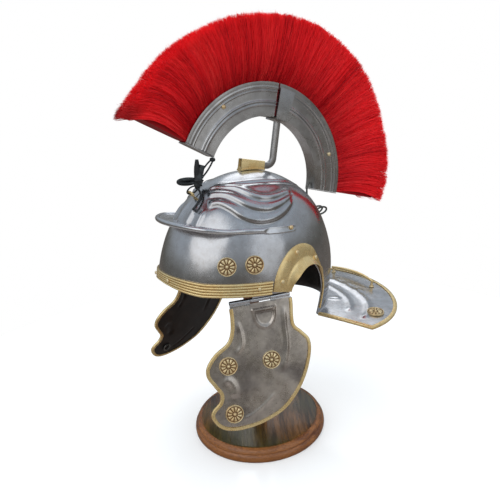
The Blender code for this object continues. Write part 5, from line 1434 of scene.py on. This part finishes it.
# The studio's shade by height, from straight down at 0 to straight up at 1
STUDIO = ((0.0, (0.20, 0.17, 0.15)), (0.44, (0.15, 0.135, 0.12)), (0.495, (0.12, 0.12, 0.105)),
          (0.53, (0.17, 0.17, 0.16)), (0.58, (0.26, 0.27, 0.27)), (0.66, (0.36, 0.39, 0.42)),
          (0.80, (0.42, 0.47, 0.52)), (1.0, (0.45, 0.51, 0.58)))


def scaled_up(tree, value, factor, more):
    """value * factor + more, in a material's tree."""
    made = tree.nodes.new("ShaderNodeMath")
    made.operation = "MULTIPLY_ADD"
    link(tree, value, made.inputs[0])
    made.inputs[1].default_value = factor
    made.inputs[2].default_value = more
    return made.outputs[0]


def make_world():
    """Soft bands of grey for the metal to reflect, brighter as light, and plain white to the camera."""
    world = bpy.data.worlds.new("studio")
    bpy.context.scene.world = world
    world.use_nodes = True
    tree = world.node_tree
    tree.nodes.clear()
    out, place, split, ramp, sky, seen, plain, mix = (tree.nodes.new("ShaderNode" + kind) for kind in (
        "OutputWorld", "TexCoord", "SeparateXYZ", "ValToRGB", "Background", "LightPath", "Background",
        "MixShader"))
    link(tree, place.outputs["Generated"], split.inputs[0])
    link(tree, scaled_up(tree, split.outputs["Z"], 0.5, 0.5), ramp.inputs[0])
    stops = ramp.color_ramp.elements
    for stop, (position, colour) in zip(stops, (STUDIO[0], STUDIO[-1])):
        stop.position, stop.color = position, (*colour, 1)
    for position, colour in STUDIO[1:-1]:
        stops.new(position).color = (*colour, 1)
    link(tree, ramp.outputs["Color"], sky.inputs["Color"])
    link(tree, scaled_up(tree, seen.outputs["Is Diffuse Ray"], 2.5, 0.9), sky.inputs["Strength"])
    plain.inputs["Color"].default_value = (1, 1, 1, 1)
    link(tree, seen.outputs["Is Camera Ray"], mix.inputs["Fac"])
    link(tree, sky.outputs[0], mix.inputs[1])
    link(tree, plain.outputs[0], mix.inputs[2])
    link(tree, mix.outputs[0], out.inputs["Surface"])


def make_floor():
    """A glossy floor that glows a little to the camera and is dull brown to everything else."""
    points, faces = turned([(0, -2), (FLOOR_RADIUS, -2), (FLOOR_RADIUS, -0.02), (0, -0.02)], 96)
    mesh = bpy.data.meshes.new("floor")
    mesh.from_pydata((points * 0.001).tolist(), [], [face for group in faces for face in group.tolist()])
    look = Look("floor_pale", (0.66, 0.625, 0.59), 0.0, 0.12)
    item = bpy.data.objects.new("floor", mesh)
    mesh.materials.append(look.made)
    tree = look.tree
    seen = look.node("ShaderNodeLightPath")
    glow = look.node("ShaderNodeEmission")
    glow.inputs["Strength"].default_value = 0.31
    bright = look.node("ShaderNodeAddShader")
    link(tree, look.shader.outputs[0], bright.inputs[0])
    link(tree, glow.outputs[0], bright.inputs[1])
    dull = look.node("ShaderNodeBsdfDiffuse")
    dull.inputs["Color"].default_value = (0.24, 0.21, 0.19, 1)
    mix = look.node("ShaderNodeMixShader")
    link(tree, seen.outputs["Is Camera Ray"], mix.inputs["Fac"])
    link(tree, dull.outputs[0], mix.inputs[1])
    link(tree, bright.outputs[0], mix.inputs[2])
    link(tree, mix.outputs[0], tree.nodes["Material Output"].inputs["Surface"])
    bpy.context.scene.collection.objects.link(item)


def stand_at(item, right, up, back, place):
    """Puts a light or the camera at a place, with its own axes along the given ways."""
    item.matrix_world = Matrix([[right[i], up[i], back[i], place[i]] for i in range(3)] + [[0, 0, 0, 1]])
    bpy.context.scene.collection.objects.link(item)


def area_light(name, place, target, size, power, colour=(1, 1, 1)):
    """A soft oval light that faces its target."""
    data = bpy.data.lights.new(name, "AREA")
    data.shape = "ELLIPSE"
    data.size, data.size_y = size
    data.energy = power
    data.color = colour
    back = unit(np.array(place, float) - np.array(target, float))
    side = unit(np.cross([0, 0, 1], back))
    stand_at(bpy.data.objects.new(name, data), side, np.cross(back, side), back, place)


def make_camera():
    """The photo's camera, as it was fitted."""
    data = bpy.data.cameras.new("camera")
    data.sensor_width = 36
    data.lens = 35.408
    data.shift_x = -0.0004
    data.shift_y = 0.07441
    data.clip_start = 0.01
    item = bpy.data.objects.new("camera", data)
    stand_at(item, (0.49719999, 0.86499247, -0.06767713), (-0.26686632, 0.22668261, 0.93669491),
             (0.82557528, -0.44766396, 0.34354395), (0.51828749, -0.28104772, 0.41714189))
    bpy.context.scene.camera = item


make_bowl()
make_band()
make_brow_guard()
make_ear_guards()
make_neck_edging()
make_bowl_trim()
make_crest_box()
make_rod_and_holder()
make_plume()
make_loops()
make_thong()
make_handle()
for side, hand in HANDS:
    make_cheek(side, hand)
make_stand()
make_world()
make_floor()
make_camera()
area_light("key", (0.9, -1.7, 1.5), (0, 0, 0.25), (2.2, 2.2), 8.5, (1.0, 0.97, 0.93))
area_light("fill", (1.9, 0.5, 0.7), (0, 0, 0.25), (1.2, 1.6), 2.2, (0.94, 0.97, 1.0))
area_light("back", (-1.2, 0.9, 1.6), (0, 0, 0.3), (1.2, 1.2), 4)
bpy.context.scene.view_settings.view_transform = "Standard"
